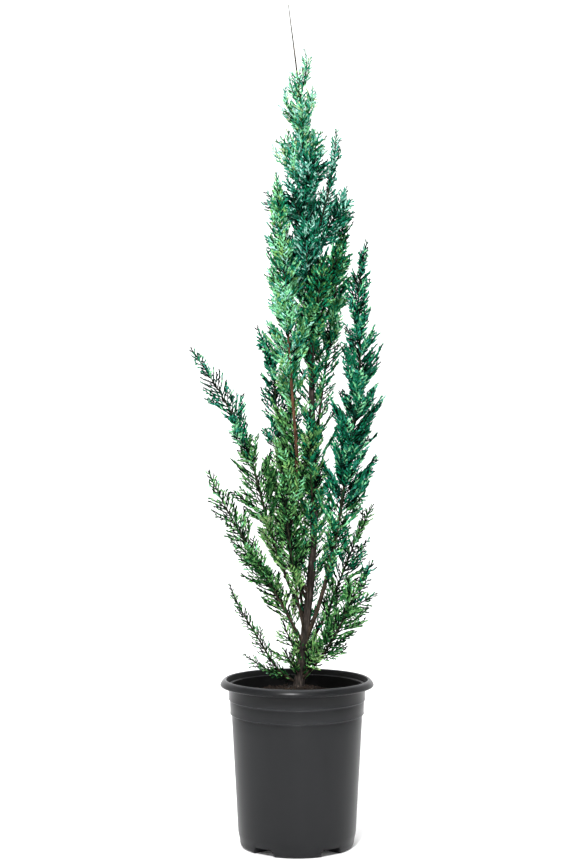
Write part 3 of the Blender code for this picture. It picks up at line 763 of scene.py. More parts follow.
def band_between(low: int, high: int, columns: int) -> list[tuple]:
    """Returns the faces between two rings of points, which start at the given indices."""
    pairs = [(c, (c + 1) % columns) for c in range(columns)]
    return [(low + c, high + c, high + beside, low + beside) for c, beside in pairs]


def near(dice: random.Random, middle: float, swing: float) -> float:
    """Returns a random number that lies at most a swing from the middle."""
    return middle + dice.uniform(-swing, swing)


def level(bearing: float) -> Vector:
    """Returns the level direction at a bearing in degrees."""
    turn = math.radians(bearing)
    return Vector((math.cos(turn), math.sin(turn), 0.0))


def leaning(heading: Vector, aside: Vector, degrees: float) -> Vector:
    """Returns a heading turned by an angle towards a direction across it."""
    turn = math.radians(degrees)
    return heading * math.cos(turn) + aside * math.sin(turn)


def bowed(root: Vector, tip: Vector, bow: Vector) -> list[Vector]:
    """Returns four points of a path from root to tip that bows sideways."""
    return [root.lerp(tip, t) + bow * (4.0 * t * (1.0 - t)) for t in (0.0, 0.34, 0.68, 1.0)]


def foliage_nodes(frame: dict) -> list[str]:
    """Returns the names of the frame's foliage masses."""
    return [name for name in frame["nodes"] if name.endswith("_foliage")]


def settle(obj: Object, nodes: list[str]) -> None:
    """Rides a finished piece on the plant's body and hides the frame's nodes that it replaces.

    Args:
        obj: The piece.
        nodes: The frame's nodes that it replaces.
    """
    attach(obj, "root")
    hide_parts(*nodes)
    LOG.info("%s: %d faces", obj.name, len(obj.data.polygons))


@dataclass
class TrunkLine:
    """The trunk's centre line and thickness, by height above the ground."""

    ground: float = 0.1690
    height: float = 0.7350
    radius: float = 0.0048
    tip_radius: float = 0.0005
    taper: float = 0.90
    flare: float = 0.0020
    flare_fade: float = 0.0090
    rows: tuple = (
        (0.000, 0.0020, 0.0000),
        (0.065, 0.0095, 0.0020),
        (0.130, 0.0160, 0.0030),
        (0.200, 0.0185, 0.0010),
        (0.330, 0.0156, -0.0010),
        (0.430, 0.0156, 0.0010),
        (0.470, 0.0125, 0.0020),
        (0.530, 0.0080, 0.0010),
        (0.640, 0.0020, -0.0010),
        (0.735, -0.0092, 0.0000),
    )

    def slope(self, row: int, axis: int) -> float:
        """Works out the centre line's slope at one row.

        Args:
            row: The row's number.
            axis: Its column, 1 for X or 2 for Y.

        Returns:
            Sideways travel for each metre of height.
        """
        before = self.rows[max(0, row - 1)]
        after = self.rows[min(len(self.rows) - 1, row + 1)]
        return (after[axis] - before[axis]) / (after[0] - before[0])

    def at(self, height: float) -> Vector:
        """Finds a point on the centre line, which runs smoothly through the rows.

        Args:
            height: Height above the ground.

        Returns:
            The point.
        """
        rows = self.rows
        height = min(max(height, rows[0][0]), rows[-1][0])
        k = 0
        while k < len(rows) - 2 and height > rows[k + 1][0]:
            k += 1
        span = rows[k + 1][0] - rows[k][0]
        t = (height - rows[k][0]) / span
        spot = []
        for axis in (1, 2):
            spot.append(
                (2 * t**3 - 3 * t**2 + 1) * rows[k][axis]
                + (t**3 - 2 * t**2 + t) * self.slope(k, axis) * span
                + (3 * t**2 - 2 * t**3) * rows[k + 1][axis]
                + (t**3 - t**2) * self.slope(k + 1, axis) * span
            )
        return Vector((spot[0], spot[1], self.ground + height))

    def girth(self, height: float) -> float:
        """Works out the trunk's radius, with its root flare.

        Args:
            height: Height above the ground.

        Returns:
            The radius there.
        """
        share = min(max(height / self.height, 0.0), 1.0)
        body = self.tip_radius + (self.radius - self.tip_radius) * (1.0 - share) ** self.taper
        return body + self.flare * math.exp(-max(height, 0.0) / self.flare_fade)


class Stem:
    """The centre line of a shoot, from the trunk's centre line to its tip."""

    STEP = 0.0020
    TAPER = 0.80
    TIP_RADIUS = 0.00055
    CLEAR = 0.0003

    def __init__(self, shoot: Shoot, trunk: TrunkLine) -> None:
        """Walks the shoot out from its fork by its leans.

        Args:
            shoot: The shoot's sizes.
            trunk: The trunk that it leaves.
        """
        self.shoot = shoot
        self.trunk = trunk
        self.out = level(shoot.bearing)
        self.side = Vector((-self.out.y, self.out.x, 0.0))
        steps = max(8, round(shoot.length / self.STEP))
        self.pace = shoot.length / steps
        spot = trunk.at(shoot.fork)
        self.spots = [spot]
        self.headings = [self.heading_at(0.0)]
        for k in range(steps):
            spot = spot + self.heading_at((k + 0.5) / steps) * self.pace
            self.spots.append(spot)
            self.headings.append(self.heading_at((k + 1.0) / steps))

    def heading_at(self, share: float) -> Vector:
        """Works out the direction of growth.

        Args:
            share: Share of the shoot's length.

        Returns:
            The direction there.
        """
        leans = self.shoot.leans
        place = share * (len(leans) - 1)
        k = min(int(place), len(leans) - 2)
        lean = math.radians(leans[k] + (leans[k + 1] - leans[k]) * (place - k))
        return self.out * math.sin(lean) + Vector((0.0, 0.0, math.cos(lean)))

    def at(self, along: float) -> tuple[Vector, Vector]:
        """Finds a point of the stem.

        Args:
            along: Distance along the stem.

        Returns:
            The point and the stem's heading there.
        """
        place = min(max(along / self.pace, 0.0), len(self.spots) - 1.001)
        k = int(place)
        spot = self.spots[k].lerp(self.spots[k + 1], place - k)
        return spot, self.headings[k].lerp(self.headings[k + 1], place - k).normalized()

    def outward(self, heading: Vector, turn: float) -> Vector:
        """Returns the direction off the stem at a turn round its heading, in degrees."""
        return leaning(self.side, heading.cross(self.side), turn)

    def radius(self, along: float) -> float:
        """Returns the wood's radius at a distance along the stem."""
        left = max(0.0, 1.0 - along / self.shoot.length)
        return self.TIP_RADIUS + (self.shoot.girth - self.TIP_RADIUS) * left**self.TAPER

    def leaves_trunk(self) -> float:
        """Finds where the stem stands clear of the trunk.

        Returns:
            The distance along the stem.
        """
        along = 0.0
        while along < self.shoot.length:
            spot, heading = self.at(along)
            height = spot.z - self.trunk.ground
            aside = (spot - self.trunk.at(height)).length
            if aside > self.trunk.girth(height) + self.CLEAR + self.radius(along) * abs(heading.z):
                return along
            along += self.STEP / 4.0
        return along


@dataclass
class Cord:
    """One scaly cord: its path, its thickness at the root and its tint."""

    path: list
    girth: float
    tint: Tint


@dataclass
class Twig:
    """One side twig: its ends, its directions off the stem and across its spray, and its own dice."""

    root: Vector
    tip: Vector
    outward: Vector
    flat: Vector
    dice: random.Random


@dataclass(frozen=True)
class TwigHabit:
    """How side twigs stand on a stem: lengths in metres, angles in degrees, the rest shares."""

    open_spacing: float = 0.0280
    dense_spacing: float = 0.0175
    open_steps: int = 12
    dense_steps: int = 17
    scatter: float = 0.3
    first: float = 0.4
    last: float = 0.62
    angle: float = 38.0
    angle_swing: float = 5.0
    turn_swing: float = 15.0
    fine_turn: float = 97.0
    stem_turn: float = 40.0
    shortest: float = 0.0050
    least_spread: float = 0.60
    full_reach: float = 0.015
    widest: float = 1.42
    widest_right: float = 1.34
    any_reach: tuple = (0.85, 1.15)
    fine_reach: tuple = (0.58, 1.02)
    foot_width: float = 0.55
    foot_rise: float = 2.2
    tip_fall: float = 2.6
    tip_round: float = 0.8

    def width(self, share: float) -> float:
        """Returns the share of the full reach that side twigs have along a mass, as in the solids."""
        flare = min(1.0, self.foot_width + self.foot_rise * share)
        return flare * (1.0 - share**self.tip_fall) ** self.tip_round


@dataclass(frozen=True)
class SprayHabit:
    """How a side twig carries its cords: lengths in metres, angles in degrees, the rest shares.

    A cord over fringed_over long carries short last cords of its own.
    """

    bow: float = 0.07
    sway: float = 0.05
    roll: float = 28.0
    gap: float = 0.0027
    run: float = 0.84
    first: float = 0.10
    span: float = 0.82
    fork: float = 36.0
    fork_swing: float = 8.0
    share: float = 0.38
    any_reach: tuple = (0.75, 1.2)
    taper: float = 0.62
    shortest: float = 0.0040
    longest: float = 0.0150
    root_share: float = 0.62
    root_rise: float = 1.5
    full_from: float = 0.25
    lift: float = 0.10
    depth: float = 0.2
    curl: float = 0.10
    droop: float = 0.04
    twig_girth: float = 0.80
    fringed_over: float = 0.0072
    fringe_gap: float = 0.0034
    fringe_first: float = 0.30
    fringe_span: float = 0.55
    fringe_fork: float = 34.0
    fringe_reach: tuple = (0.28, 0.46)
    fringe_curl: float = 0.08
    fringe_girth: float = 0.85


@dataclass(frozen=True)
class Shading:
    """Tones of the cords, from 0 for a zone's darkest tint to 1 for its lightest.

    Light and shade are painted into these tones: sprays that point to the front or back are lighter, as
    if lit, and their cords are darker near the stem and towards the tip, as if in shade.
    """

    spray: float = 0.52
    facing: float = 0.36
    faded: float = 0.5
    spray_swing: float = 0.20
    side_fade: float = 0.35
    root_dark: float = 2.2
    root_until: float = 0.50
    tip_dark: float = 1.1
    cord_swing: float = 0.30
    twig: float = -0.2
    fringe_own: float = 0.3
    fringe_most: float = 0.9
    stem: float = -0.05
    stem_facing: float = 0.25
    tuft: float = 0.75
    tuft_fade: float = 0.6
    tuft_tip: float = 0.25
    faintest: float = 0.04
    contrast: float = 2.0


@dataclass(frozen=True)
class CloseHabit:
    """How short cords stand on a stem or at its tip: angles in degrees, the bow a share of the cord."""

    fork: float
    swing: float
    turn: float
    bow: float


@dataclass(frozen=True)
class TrunkCover:
    """The sprays on one stretch of the trunk, up to the height until.

    Sprays that point to the front by more than bare_front are left out, so that bark shows.
    """

    until: float
    zone: Zone
    bare_front: float
    step: float
    reach: float = 1.0


TRUNK_COVERS = (
    TrunkCover(0.0400, Zone.FOOT, -0.90, 0.0010, 0.72),
    TrunkCover(0.1200, Zone.INNER, -0.30, 0.0050),
    TrunkCover(0.4400, Zone.INNER, -1.00, 0.0050),
    TrunkCover(0.5600, Zone.CROWN, -1.00, 0.0018),
    TrunkCover(0.6560, Zone.TOP, -1.00, 0.0014),
)


@dataclass
class Foliage:
    """Every mass of scale-leaf cords, grown on from the stems."""

    trunk: TrunkLine
    twigs: TwigHabit = TwigHabit()
    habit: SprayHabit = SprayHabit()
    shading: Shading = Shading()
    on_stem: CloseHabit = CloseHabit(fork=28.0, swing=8.0, turn=65.0, bow=0.10)
    on_tip: CloseHabit = CloseHabit(fork=30.0, swing=6.0, turn=20.0, bow=0.08)
    tip_spray: float = 0.0240
    # Zones by height above the ground and distance from the trunk
    meadow_below: float = 0.300
    inner_below: float = 0.180
    right_above: float = 0.245
    right_patch: tuple = (0.100, 0.135)
    right_patch_x: float = 0.045
    left_within: float = 0.040
    left_blur: float = 0.01
    height_blur: float = 0.02
    # Cords: radius, with its share along each path, and how thin it is where the reach is short
    cord_girth: float = 0.00108
    cord_shares: tuple = (0.90, 1.0, 0.90, 0.45)
    thinnest: float = 0.30
    thick_reach: float = 0.016
    # Short cords on the stems
    stem_seed: int = 888
    stem_reach: tuple = (0.0060, 0.0115)
    open_step: float = 0.0072
    stem_step: float = 0.0022
    bare_heights: tuple = (0.225, 0.325)
    bare_front: float = -0.25
    # Tufts at the tips
    tuft_seed: int = 999
    tuft_from: float = 0.75
    tuft_margin: float = 0.0015
    tuft_step: float = 0.0019
    tuft_reach: float = 0.0038
    tuft_growth: float = 0.0075
    tuft_full: float = 0.011
    tuft_swing: tuple = (0.8, 1.2)
    tuft_girth: float = 0.9
    tail_girth: float = 1.15
    # Sprays on the trunk
    trunk_seed: int = 77
    clothed_from: float = 0.0040
    crowned_from: float = 0.4400
    trunk_ahead: float = 0.004
    trunk_fork: float = 34.0
    trunk_fork_swing: float = 6.0
    trunk_reach: float = 0.036
    trunk_least: float = 0.0030
    trunk_fall: float = 0.95
    trunk_swing: tuple = (0.75, 1.1)
    trunk_girth: float = 0.95
    cords: list = field(default_factory=list)

    def zone_at(self, zone: Zone, spot: Vector, dice: random.Random) -> Zone:
        """Picks a spray's zone: its shoot's own, changed low down, high up or far out.

        Args:
            zone: The shoot's own zone.
            spot: Where the spray is.
            dice: The spray's own random numbers.

        Returns:
            The spray's zone.
        """
        height = near(dice, spot.z - self.trunk.ground, self.height_blur)
        low, high = self.right_patch
        if zone is Zone.PLUME and height < self.meadow_below:
            return Zone.MEADOW
        if zone is Zone.RIGHT and height < self.inner_below:
            return Zone.INNER
        if zone is Zone.LOW and spot.x > self.right_patch_x and low < height < high:
            return Zone.RIGHT
        if zone is Zone.LEFT:
            if height > self.right_above:
                return Zone.RIGHT
            aside = (spot - self.trunk.at(height)).xy.length
            return Zone.LEFT if aside < near(dice, self.left_within, self.left_blur) else Zone.LOW
        return zone

    def pick(self, zone: Zone, dice: random.Random, light: float) -> Tint:
        """Deals out a tint of the zone, near the asked-for lightness.

        Args:
            zone: The part of the crown.
            dice: The twig's own random numbers.
            light: 0 for the zone's darkest tint to 1 for its lightest.

        Returns:
            The tint.
        """
        last = len(zone.mix) - 1
        fits = [1.0 - self.shading.contrast * abs(place / last - light) for place in range(last + 1)]
        weights = [weight * max(self.shading.faintest, fit) for weight, fit in zip(zone.mix.values(), fits)]
        return dice.choices(list(zone.mix), weights)[0]

    def side_twigs(self, stem: Stem, start: float, seed: int) -> Iterator[Twig]:
        """Walks a mass by the solids' rule, with finer twigs between the solids' own.

        Args:
            stem: The mass's stem.
            start: Where its foliage starts.
            seed: The mass's own seed.

        Yields:
            Each side twig.
        """
        shoot = stem.shoot
        twigs = self.twigs
        last = shoot.length - twigs.last * self.tip_spray
        along = start + twigs.first * twigs.open_spacing
        k = 0
        while along < last:
            dense = (along - start) / (shoot.length - start) >= shoot.dense_from
            spacing = twigs.dense_spacing if dense else twigs.open_spacing
            steps = twigs.dense_steps if dense else twigs.open_steps
            for fine in range(steps):
                dice = random.Random(STEM_SEEDS * seed + k + FINE_SEEDS * fine)
                here = along + spacing * fine / steps
                if fine:
                    here += spacing * dice.uniform(-twigs.scatter, twigs.scatter) / steps
                if here < last:
                    turn = GOLDEN_ANGLE * (k + GOLDEN_SHARE * fine) + twigs.fine_turn * fine
                    yield self.one_twig(stem, start, here, turn + twigs.stem_turn * seed, fine > 0, dice)
            along += spacing
            k += 1

    def one_twig(
        self, stem: Stem, start: float, along: float, turn: float, fine: bool, dice: random.Random
    ) -> Twig:
        """Works out one side twig.

        Args:
            stem: The mass's stem.
            start: Where its foliage starts.
            along: Distance of the twig along the stem.
            turn: Its turn round the stem in degrees, before its own swing.
            fine: Whether it is one of the finer twigs between the solids' own.
            dice: The twig's own random numbers.

        Returns:
            The twig.
        """
        shoot = stem.shoot
        twigs = self.twigs
        spot, heading = stem.at(along)
        outward = stem.outward(heading, near(dice, turn, twigs.turn_swing))
        angle = near(dice, twigs.angle, twigs.angle_swing)
        share = (along - start) / (shoot.length - start)
        reach = shoot.reach * twigs.width(share) * dice.uniform(*twigs.any_reach)
        widest = twigs.widest_right if shoot.zone is Zone.RIGHT else twigs.widest
        spread = min(widest, twigs.least_spread + shoot.reach / twigs.full_reach)
        reach *= spread * dice.uniform(*twigs.fine_reach) if fine else spread
        length = max(reach, twigs.shortest) / math.sin(math.radians(angle))
        tip = spot + leaning(heading, outward, angle) * length
        return Twig(spot, tip, outward, heading.cross(outward).normalized(), dice)

    def spray(self, zone: Zone, twig: Twig, girth: float) -> None:
        """Grows one side twig with its cords, alternately to either side.

        Args:
            zone: The part of the crown.
            twig: The twig.
            girth: Radius of its cords.
        """
        habit, shading, dice = self.habit, self.shading, twig.dice
        run = twig.tip - twig.root
        length = run.length
        heading = run / length
        sway = dice.uniform(-habit.sway, habit.sway)
        bow = twig.outward * (habit.bow * length) + twig.flat * sway * length
        # Painted light and shade: sprays that point to the front or back are lighter, sideways ones darken
        # more towards the tip
        facing = abs(twig.outward.y)
        fade = zone.fade + shading.side_fade * (1.0 - facing)
        lit = near(dice, shading.spray + shading.facing * facing + shading.faded * fade, shading.spray_swing)
        path = bowed(twig.root, twig.tip, bow)
        # The twig's own cord takes a dark tone, painted shade
        self.cords.append(Cord(path, girth * habit.twig_girth, self.pick(zone, dice, shading.twig)))
        plane = leaning(twig.flat, heading.cross(twig.flat), dice.uniform(-habit.roll, habit.roll))
        count = max(2, int(length * habit.run / habit.gap))
        side = 1.0 if dice.random() < 0.5 else -1.0
        for k in range(count):
            t = habit.first + habit.span * (k + 0.5) / count
            spot = twig.root + run * t + bow * (4.0 * t * (1.0 - t))
            side = -side
            fork = near(dice, habit.fork, habit.fork_swing)
            reach = habit.share * length * (1.0 - habit.taper * t) * dice.uniform(*habit.any_reach)
            reach = max(habit.shortest, min(reach, habit.longest))
            reach *= habit.root_share + habit.root_rise * min(t, habit.full_from)
            lift = Vector((0.0, 0.0, habit.lift))
            depth = heading.cross(plane) * dice.uniform(-habit.depth, habit.depth)
            away = (leaning(heading, plane * side, fork) + lift + depth).normalized()
            curl = plane * side * (habit.curl * reach) - heading * (habit.droop * reach)
            # Painted shade: cords are darker near the stem and towards the tip
            dark = shading.root_dark * max(0.0, shading.root_until - t)
            tone = near(dice, lit - dark - shading.tip_dark * fade * t, shading.cord_swing)
            cord = Cord(bowed(spot, spot + away * reach, curl), girth, self.pick(zone, dice, tone))
            self.cords.append(cord)
            if reach > habit.fringed_over:
                self.fringe(zone, cord, away, plane * side, dice)

    def fringe(self, zone: Zone, cord: Cord, heading: Vector, aside: Vector, dice: random.Random) -> None:
        """Grows the short last cords on a longer one.

        Args:
            zone: The part of the crown.
            cord: The longer cord.
            heading: Its direction.
            aside: Direction across it, to the side of the twig that it is on.
            dice: The twig's own random numbers.
        """
        habit = self.habit
        root, tip = cord.path[0], cord.path[-1]
        length = (tip - root).length
        count = int(length / habit.fringe_gap)
        for k in range(count):
            t = habit.fringe_first + habit.fringe_span * (k + 0.5) / count
            aside = -aside
            fork = near(dice, habit.fringe_fork, habit.fork_swing)
            away = leaning(heading, aside, fork).normalized()
            reach = length * dice.uniform(*habit.fringe_reach)
            tint = cord.tint
            if dice.random() >= self.shading.fringe_own:
                tint = self.pick(zone, dice, self.shading.fringe_most * dice.random())
            spot = root.lerp(tip, t)
            path = bowed(spot, spot + away * reach, aside * (habit.fringe_curl * reach))
            self.cords.append(Cord(path, cord.girth * habit.fringe_girth, tint))

    @staticmethod
    def close_start(
        stem: Stem, along: float, turn: float, close: CloseHabit, dice: random.Random
    ) -> tuple[Vector, Vector, Vector]:
        """Starts a short cord that stands close on a stem.

        Args:
            stem: The stem.
            along: Distance of the cord along the stem.
            turn: Its turn round the stem in degrees.
            close: How such cords stand.
            dice: The stem's own random numbers.

        Returns:
            The cord's root, its direction and the direction off the stem.
        """
        spot, heading = stem.at(along)
        outward = stem.outward(heading, turn)
        return spot, leaning(heading, outward, near(dice, close.fork, close.swing)), outward

    def clothe(self, stem: Stem, start: float, seed: int) -> None:
        """Grows the short cords that stand close on a stem between its side twigs.

        Args:
            stem: The mass's stem.
            start: Where its foliage starts.
            seed: The mass's own seed.
        """
        shoot, close, shading = stem.shoot, self.on_stem, self.shading
        dice = random.Random(STEM_SEEDS * seed + self.stem_seed)
        dense_start = start + shoot.dense_from * (shoot.length - start)
        along = start
        k = 0
        while along < shoot.length - self.tip_spray:
            turn = GOLDEN_ANGLE * k + close.turn * seed
            spot, away, outward = self.close_start(stem, along, turn, close, dice)
            bare = self.left_bare(stem, spot, outward)
            reach = 0.0 if bare else dice.uniform(*self.stem_reach)
            # Painted shade: cords close on the stem take a dark tone, a little lighter where they point to
            # the front or back
            tone = near(dice, shading.stem + shading.stem_facing * abs(outward.y), shading.cord_swing)
            tint = self.pick(self.zone_at(shoot.zone, spot, dice), dice, tone)
            if not bare:
                path = bowed(spot, spot + away * reach, outward * (close.bow * reach))
                self.cords.append(Cord(path, self.cord_girth, tint))
            open_leader = shoot.dense_from < 1.0 and along < dense_start
            along += self.open_step if open_leader else self.stem_step
            k += 1

    def left_bare(self, stem: Stem, spot: Vector, outward: Vector) -> bool:
        """Tells whether a stem shows its bark to the front at a spot.

        Args:
            stem: The stem.
            spot: The spot.
            outward: Direction off the stem there.

        Returns:
            Whether nothing grows there.
        """
        low, high = self.bare_heights
        shown = low < spot.z - self.trunk.ground < high
        return stem.shoot.name == RED_STEM and shown and outward.y < self.bare_front

    def tuft(self, stem: Stem, seed: int, girth: float) -> None:
        """Grows the short cords that clothe the last stretch of a stem to its tip.

        Args:
            stem: The mass's stem.
            seed: The mass's own seed.
            girth: Radius of its cords.
        """
        shoot, close, shading = stem.shoot, self.on_tip, self.shading
        dice = random.Random(STEM_SEEDS * seed + self.tuft_seed)
        size = min(1.0, shoot.reach / self.tuft_full)
        along = shoot.length - self.tuft_from * self.tip_spray
        k = 0
        while along < shoot.length - self.tuft_margin:
            left = min(1.0, (shoot.length - along) / self.tip_spray)
            turn = GOLDEN_ANGLE * k + close.turn * seed
            spot, away, outward = self.close_start(stem, along, turn, close, dice)
            reach = (self.tuft_reach + self.tuft_growth * left) * size * dice.uniform(*self.tuft_swing)
            # Painted shade: tuft cords darken with the zone's fade and towards the tip
            tone = shading.tuft - shading.tuft_fade * shoot.zone.fade - shading.tuft_tip * (1.0 - left)
            tone = near(dice, tone, shading.cord_swing)
            tint = self.pick(self.zone_at(shoot.zone, spot, dice), dice, tone)
            path = bowed(spot, spot + away * reach, outward * (close.bow * reach))
            self.cords.append(Cord(path, girth, tint))
            along += self.tuft_step
            k += 1
        # The tail along the tip takes the zone's darkest tint, painted shade
        tail = [stem.at(shoot.length - self.tip_spray * t)[0] for t in (1.0, 0.66, 0.33, 0.0)]
        self.cords.append(Cord(tail, self.tail_girth * girth, self.pick(shoot.zone, dice, 0.0)))

    def grow(self, stems: list[Stem]) -> None:
        """Grows every mass.

        Args:
            stems: The stems, whose order gives each its seed.
        """
        for seed, stem in enumerate(stems):
            shoot = stem.shoot
            start = shoot.bare + Stem.CLEAR if shoot.bare else stem.leaves_trunk()
            self.clothe(stem, start, seed)
            slim = min(1.0, self.thinnest + shoot.reach / self.thick_reach)
            for twig in self.side_twigs(stem, start, seed):
                if not self.left_bare(stem, twig.root, twig.outward):
                    self.spray(self.zone_at(shoot.zone, twig.root, twig.dice), twig, self.cord_girth * slim)
            self.tuft(stem, seed, self.tuft_girth * self.cord_girth * slim)

    def clothe_trunk(self) -> None:
        """Grows sprays on the trunk: close at its foot, sparse above, then close up to its thin tip."""
        dice = random.Random(self.trunk_seed)
        height = self.clothed_from
        k = 0
        while height < TRUNK_COVERS[-1].until:
            cover = next(cover for cover in TRUNK_COVERS if height < cover.until)
            spot = self.trunk.at(height)
            heading = (self.trunk.at(height + self.trunk_ahead) - spot).normalized()
            outward = level(GOLDEN_ANGLE * k)
            fork = near(dice, self.trunk_fork, self.trunk_fork_swing)
            share = max(0.0, (height - self.crowned_from) / (self.trunk.height - self.crowned_from))
            reach = self.trunk_reach * (1.0 - share) ** self.trunk_fall + self.trunk_least
            reach = reach * dice.uniform(*self.trunk_swing) * cover.reach
            tip = spot + leaning(heading, outward, fork) * reach
            twig = Twig(spot, tip, outward, heading.cross(outward).normalized(), dice)
            if outward.y >= cover.bare_front:
                self.spray(cover.zone, twig, self.cord_girth * self.trunk_girth)
            height += cover.step
            k += 1

    @staticmethod
    def slot_of(tint: Tint) -> str:
        """Says which of the record's slots a tint belongs to.

        Args:
            tint: The tint.

        Returns:
            The slot's name.
        """
        if tint in (Tint.SHADE, Tint.FOREST, Tint.LEAF, Tint.LIME, Tint.STRAW):
            return "low_foliage"
        return "mid_foliage" if tint in (Tint.PINE_TEAL, Tint.EMERALD) else "top_foliage"

    def dress(self, nodes: list[str]) -> None:
        """Makes one piece for each tint and settles it.

        Args:
            nodes: The frame's foliage nodes, which the pieces together replace.
        """
        sketch = cord_sketch()
        for tint in Tint:
            cords = [cord for cord in self.cords if cord.tint is tint]
            girths = [[cord.girth * share for share in self.cord_shares] for cord in cords]
            obj = path_object("cords_" + tint.name.lower(), [cord.path for cord in cords], girths)
            sketch.grow(obj, ScaleLeaf(tint).make())
            LOG.info("%s: %d cords", obj.name, len(cords))
            settle(obj, nodes)


@dataclass
class Woodwork:
    """The trunk, boughs and the stems inside the foliage, with raised bark.

    One stretch of the second stem shows red-brown bark.
    """

    trunk: TrunkLine
    sunk: float = 0.0020
    trunk_step: float = 0.0015
    trunk_sides: int = 28
    trunk_relief: float = 0.42
    slim_from: float = 0.60
    slim_over: float = 0.06
    slim_by: float = 0.12
    stem_step: float = 0.0030
    stem_girth: float = 0.9
    tip_from: float = 0.8
    tip_girth: float = 0.6
    brown_share: float = 0.30
    red_from: float = 0.22
    red_until: float = 0.72
    old: Bark = Bark("old_bark", (0.007, 0.006, 0.005), (0.034, 0.027, 0.023), (0.125, 0.100, 0.082))
    young: Bark = Bark("young_bark_skin", (0.009, 0.007, 0.005), (0.036, 0.026, 0.018), (0.095, 0.068, 0.046))
    red: Bark = Bark("red_bark_skin", (0.020, 0.009, 0.005), (0.100, 0.046, 0.024), (0.220, 0.115, 0.068))
    green: Bark = Bark("green_bark", (0.006, 0.008, 0.004), (0.020, 0.026, 0.012), (0.050, 0.056, 0.026))

    def build(self, stems: list[Stem], frame: dict) -> None:
        """Makes the trunk and the stems, in four pieces, and settles them.

        Args:
            stems: Every stem.
            frame: The frame, which names the solids.
        """
        sketch = limb_sketch()
        self.build_trunk(sketch)
        boughs = [name for name in frame["nodes"] if name.endswith("_bough")]
        masses = foliage_nodes(frame)
        second = [stem for stem in stems if stem.shoot.name == RED_STEM]
        others = [stem for stem in stems if stem.shoot.name != RED_STEM]
        lower = self.stretches(others, 0.0, self.brown_share) + self.stretches(second, 0.0, self.red_from)
        middle = self.stretches(second, self.red_from, self.red_until)
        upper = self.stretches(others, self.brown_share, 1.0) + self.stretches(second, self.red_until, 1.0)
        for name, limbs, bark, nodes, sides, relief in (
            ("shoot_bark", lower, self.young, boughs, 10, 0.30),
            ("second_bark", middle, self.red, ["second_bough"], 10, 0.30),
            ("green_shoots", upper, self.green, masses, 8, 0.25),
        ):
            obj = path_object(name, [path for path, _ in limbs], [girths for _, girths in limbs])
            sketch.grow(obj, bark.make(), Sides=sides, Relief=relief)
            settle(obj, nodes)

    def build_trunk(self, sketch: NodeSketch) -> None:
        """Makes the trunk from just below its foot to its tip and settles it.

        Args:
            sketch: The tree that makes limbs.
        """
        count = int((self.trunk.height + self.sunk) / self.trunk_step)
        heights = [self.trunk.height - self.trunk_step * k for k in range(count + 1)][::-1]
        heights[0] = -self.sunk
        path = [self.trunk.at(height) for height in heights]
        path[0].z = self.trunk.ground - self.sunk
        girths = []
        for height in heights:
            slim = min(1.0, max(0.0, (height - self.slim_from) / self.slim_over))
            girths.append(self.trunk.girth(height) * (1.0 - self.slim_by * slim))
        obj = path_object("trunk_bark", [path], [girths])
        sketch.grow(obj, self.old.make(), Sides=self.trunk_sides, Relief=self.trunk_relief)
        settle(obj, ["trunk"])

    def stretches(self, stems: list[Stem], low: float, high: float) -> list[tuple]:
        """Returns one stretch of every stem.

        Args:
            stems: The stems.
            low: Where the stretch starts, a share of a stem's length.
            high: Where it ends.

        Returns:
            Points of each path with the radius at each point.
        """
        limbs = []
        for stem in stems:
            length = stem.shoot.length
            steps = max(3, int(length * (high - low) / self.stem_step))
            places = [length * (low + (high - low) * k / steps) for k in range(steps + 1)]
            tip = self.tip_from * length
            shares = [self.stem_girth if along < tip else self.tip_girth for along in places]
            girths = [stem.radius(along) * share for along, share in zip(places, shares)]
            limbs.append(([stem.at(along)[0] for along in places], girths))
        return limbs


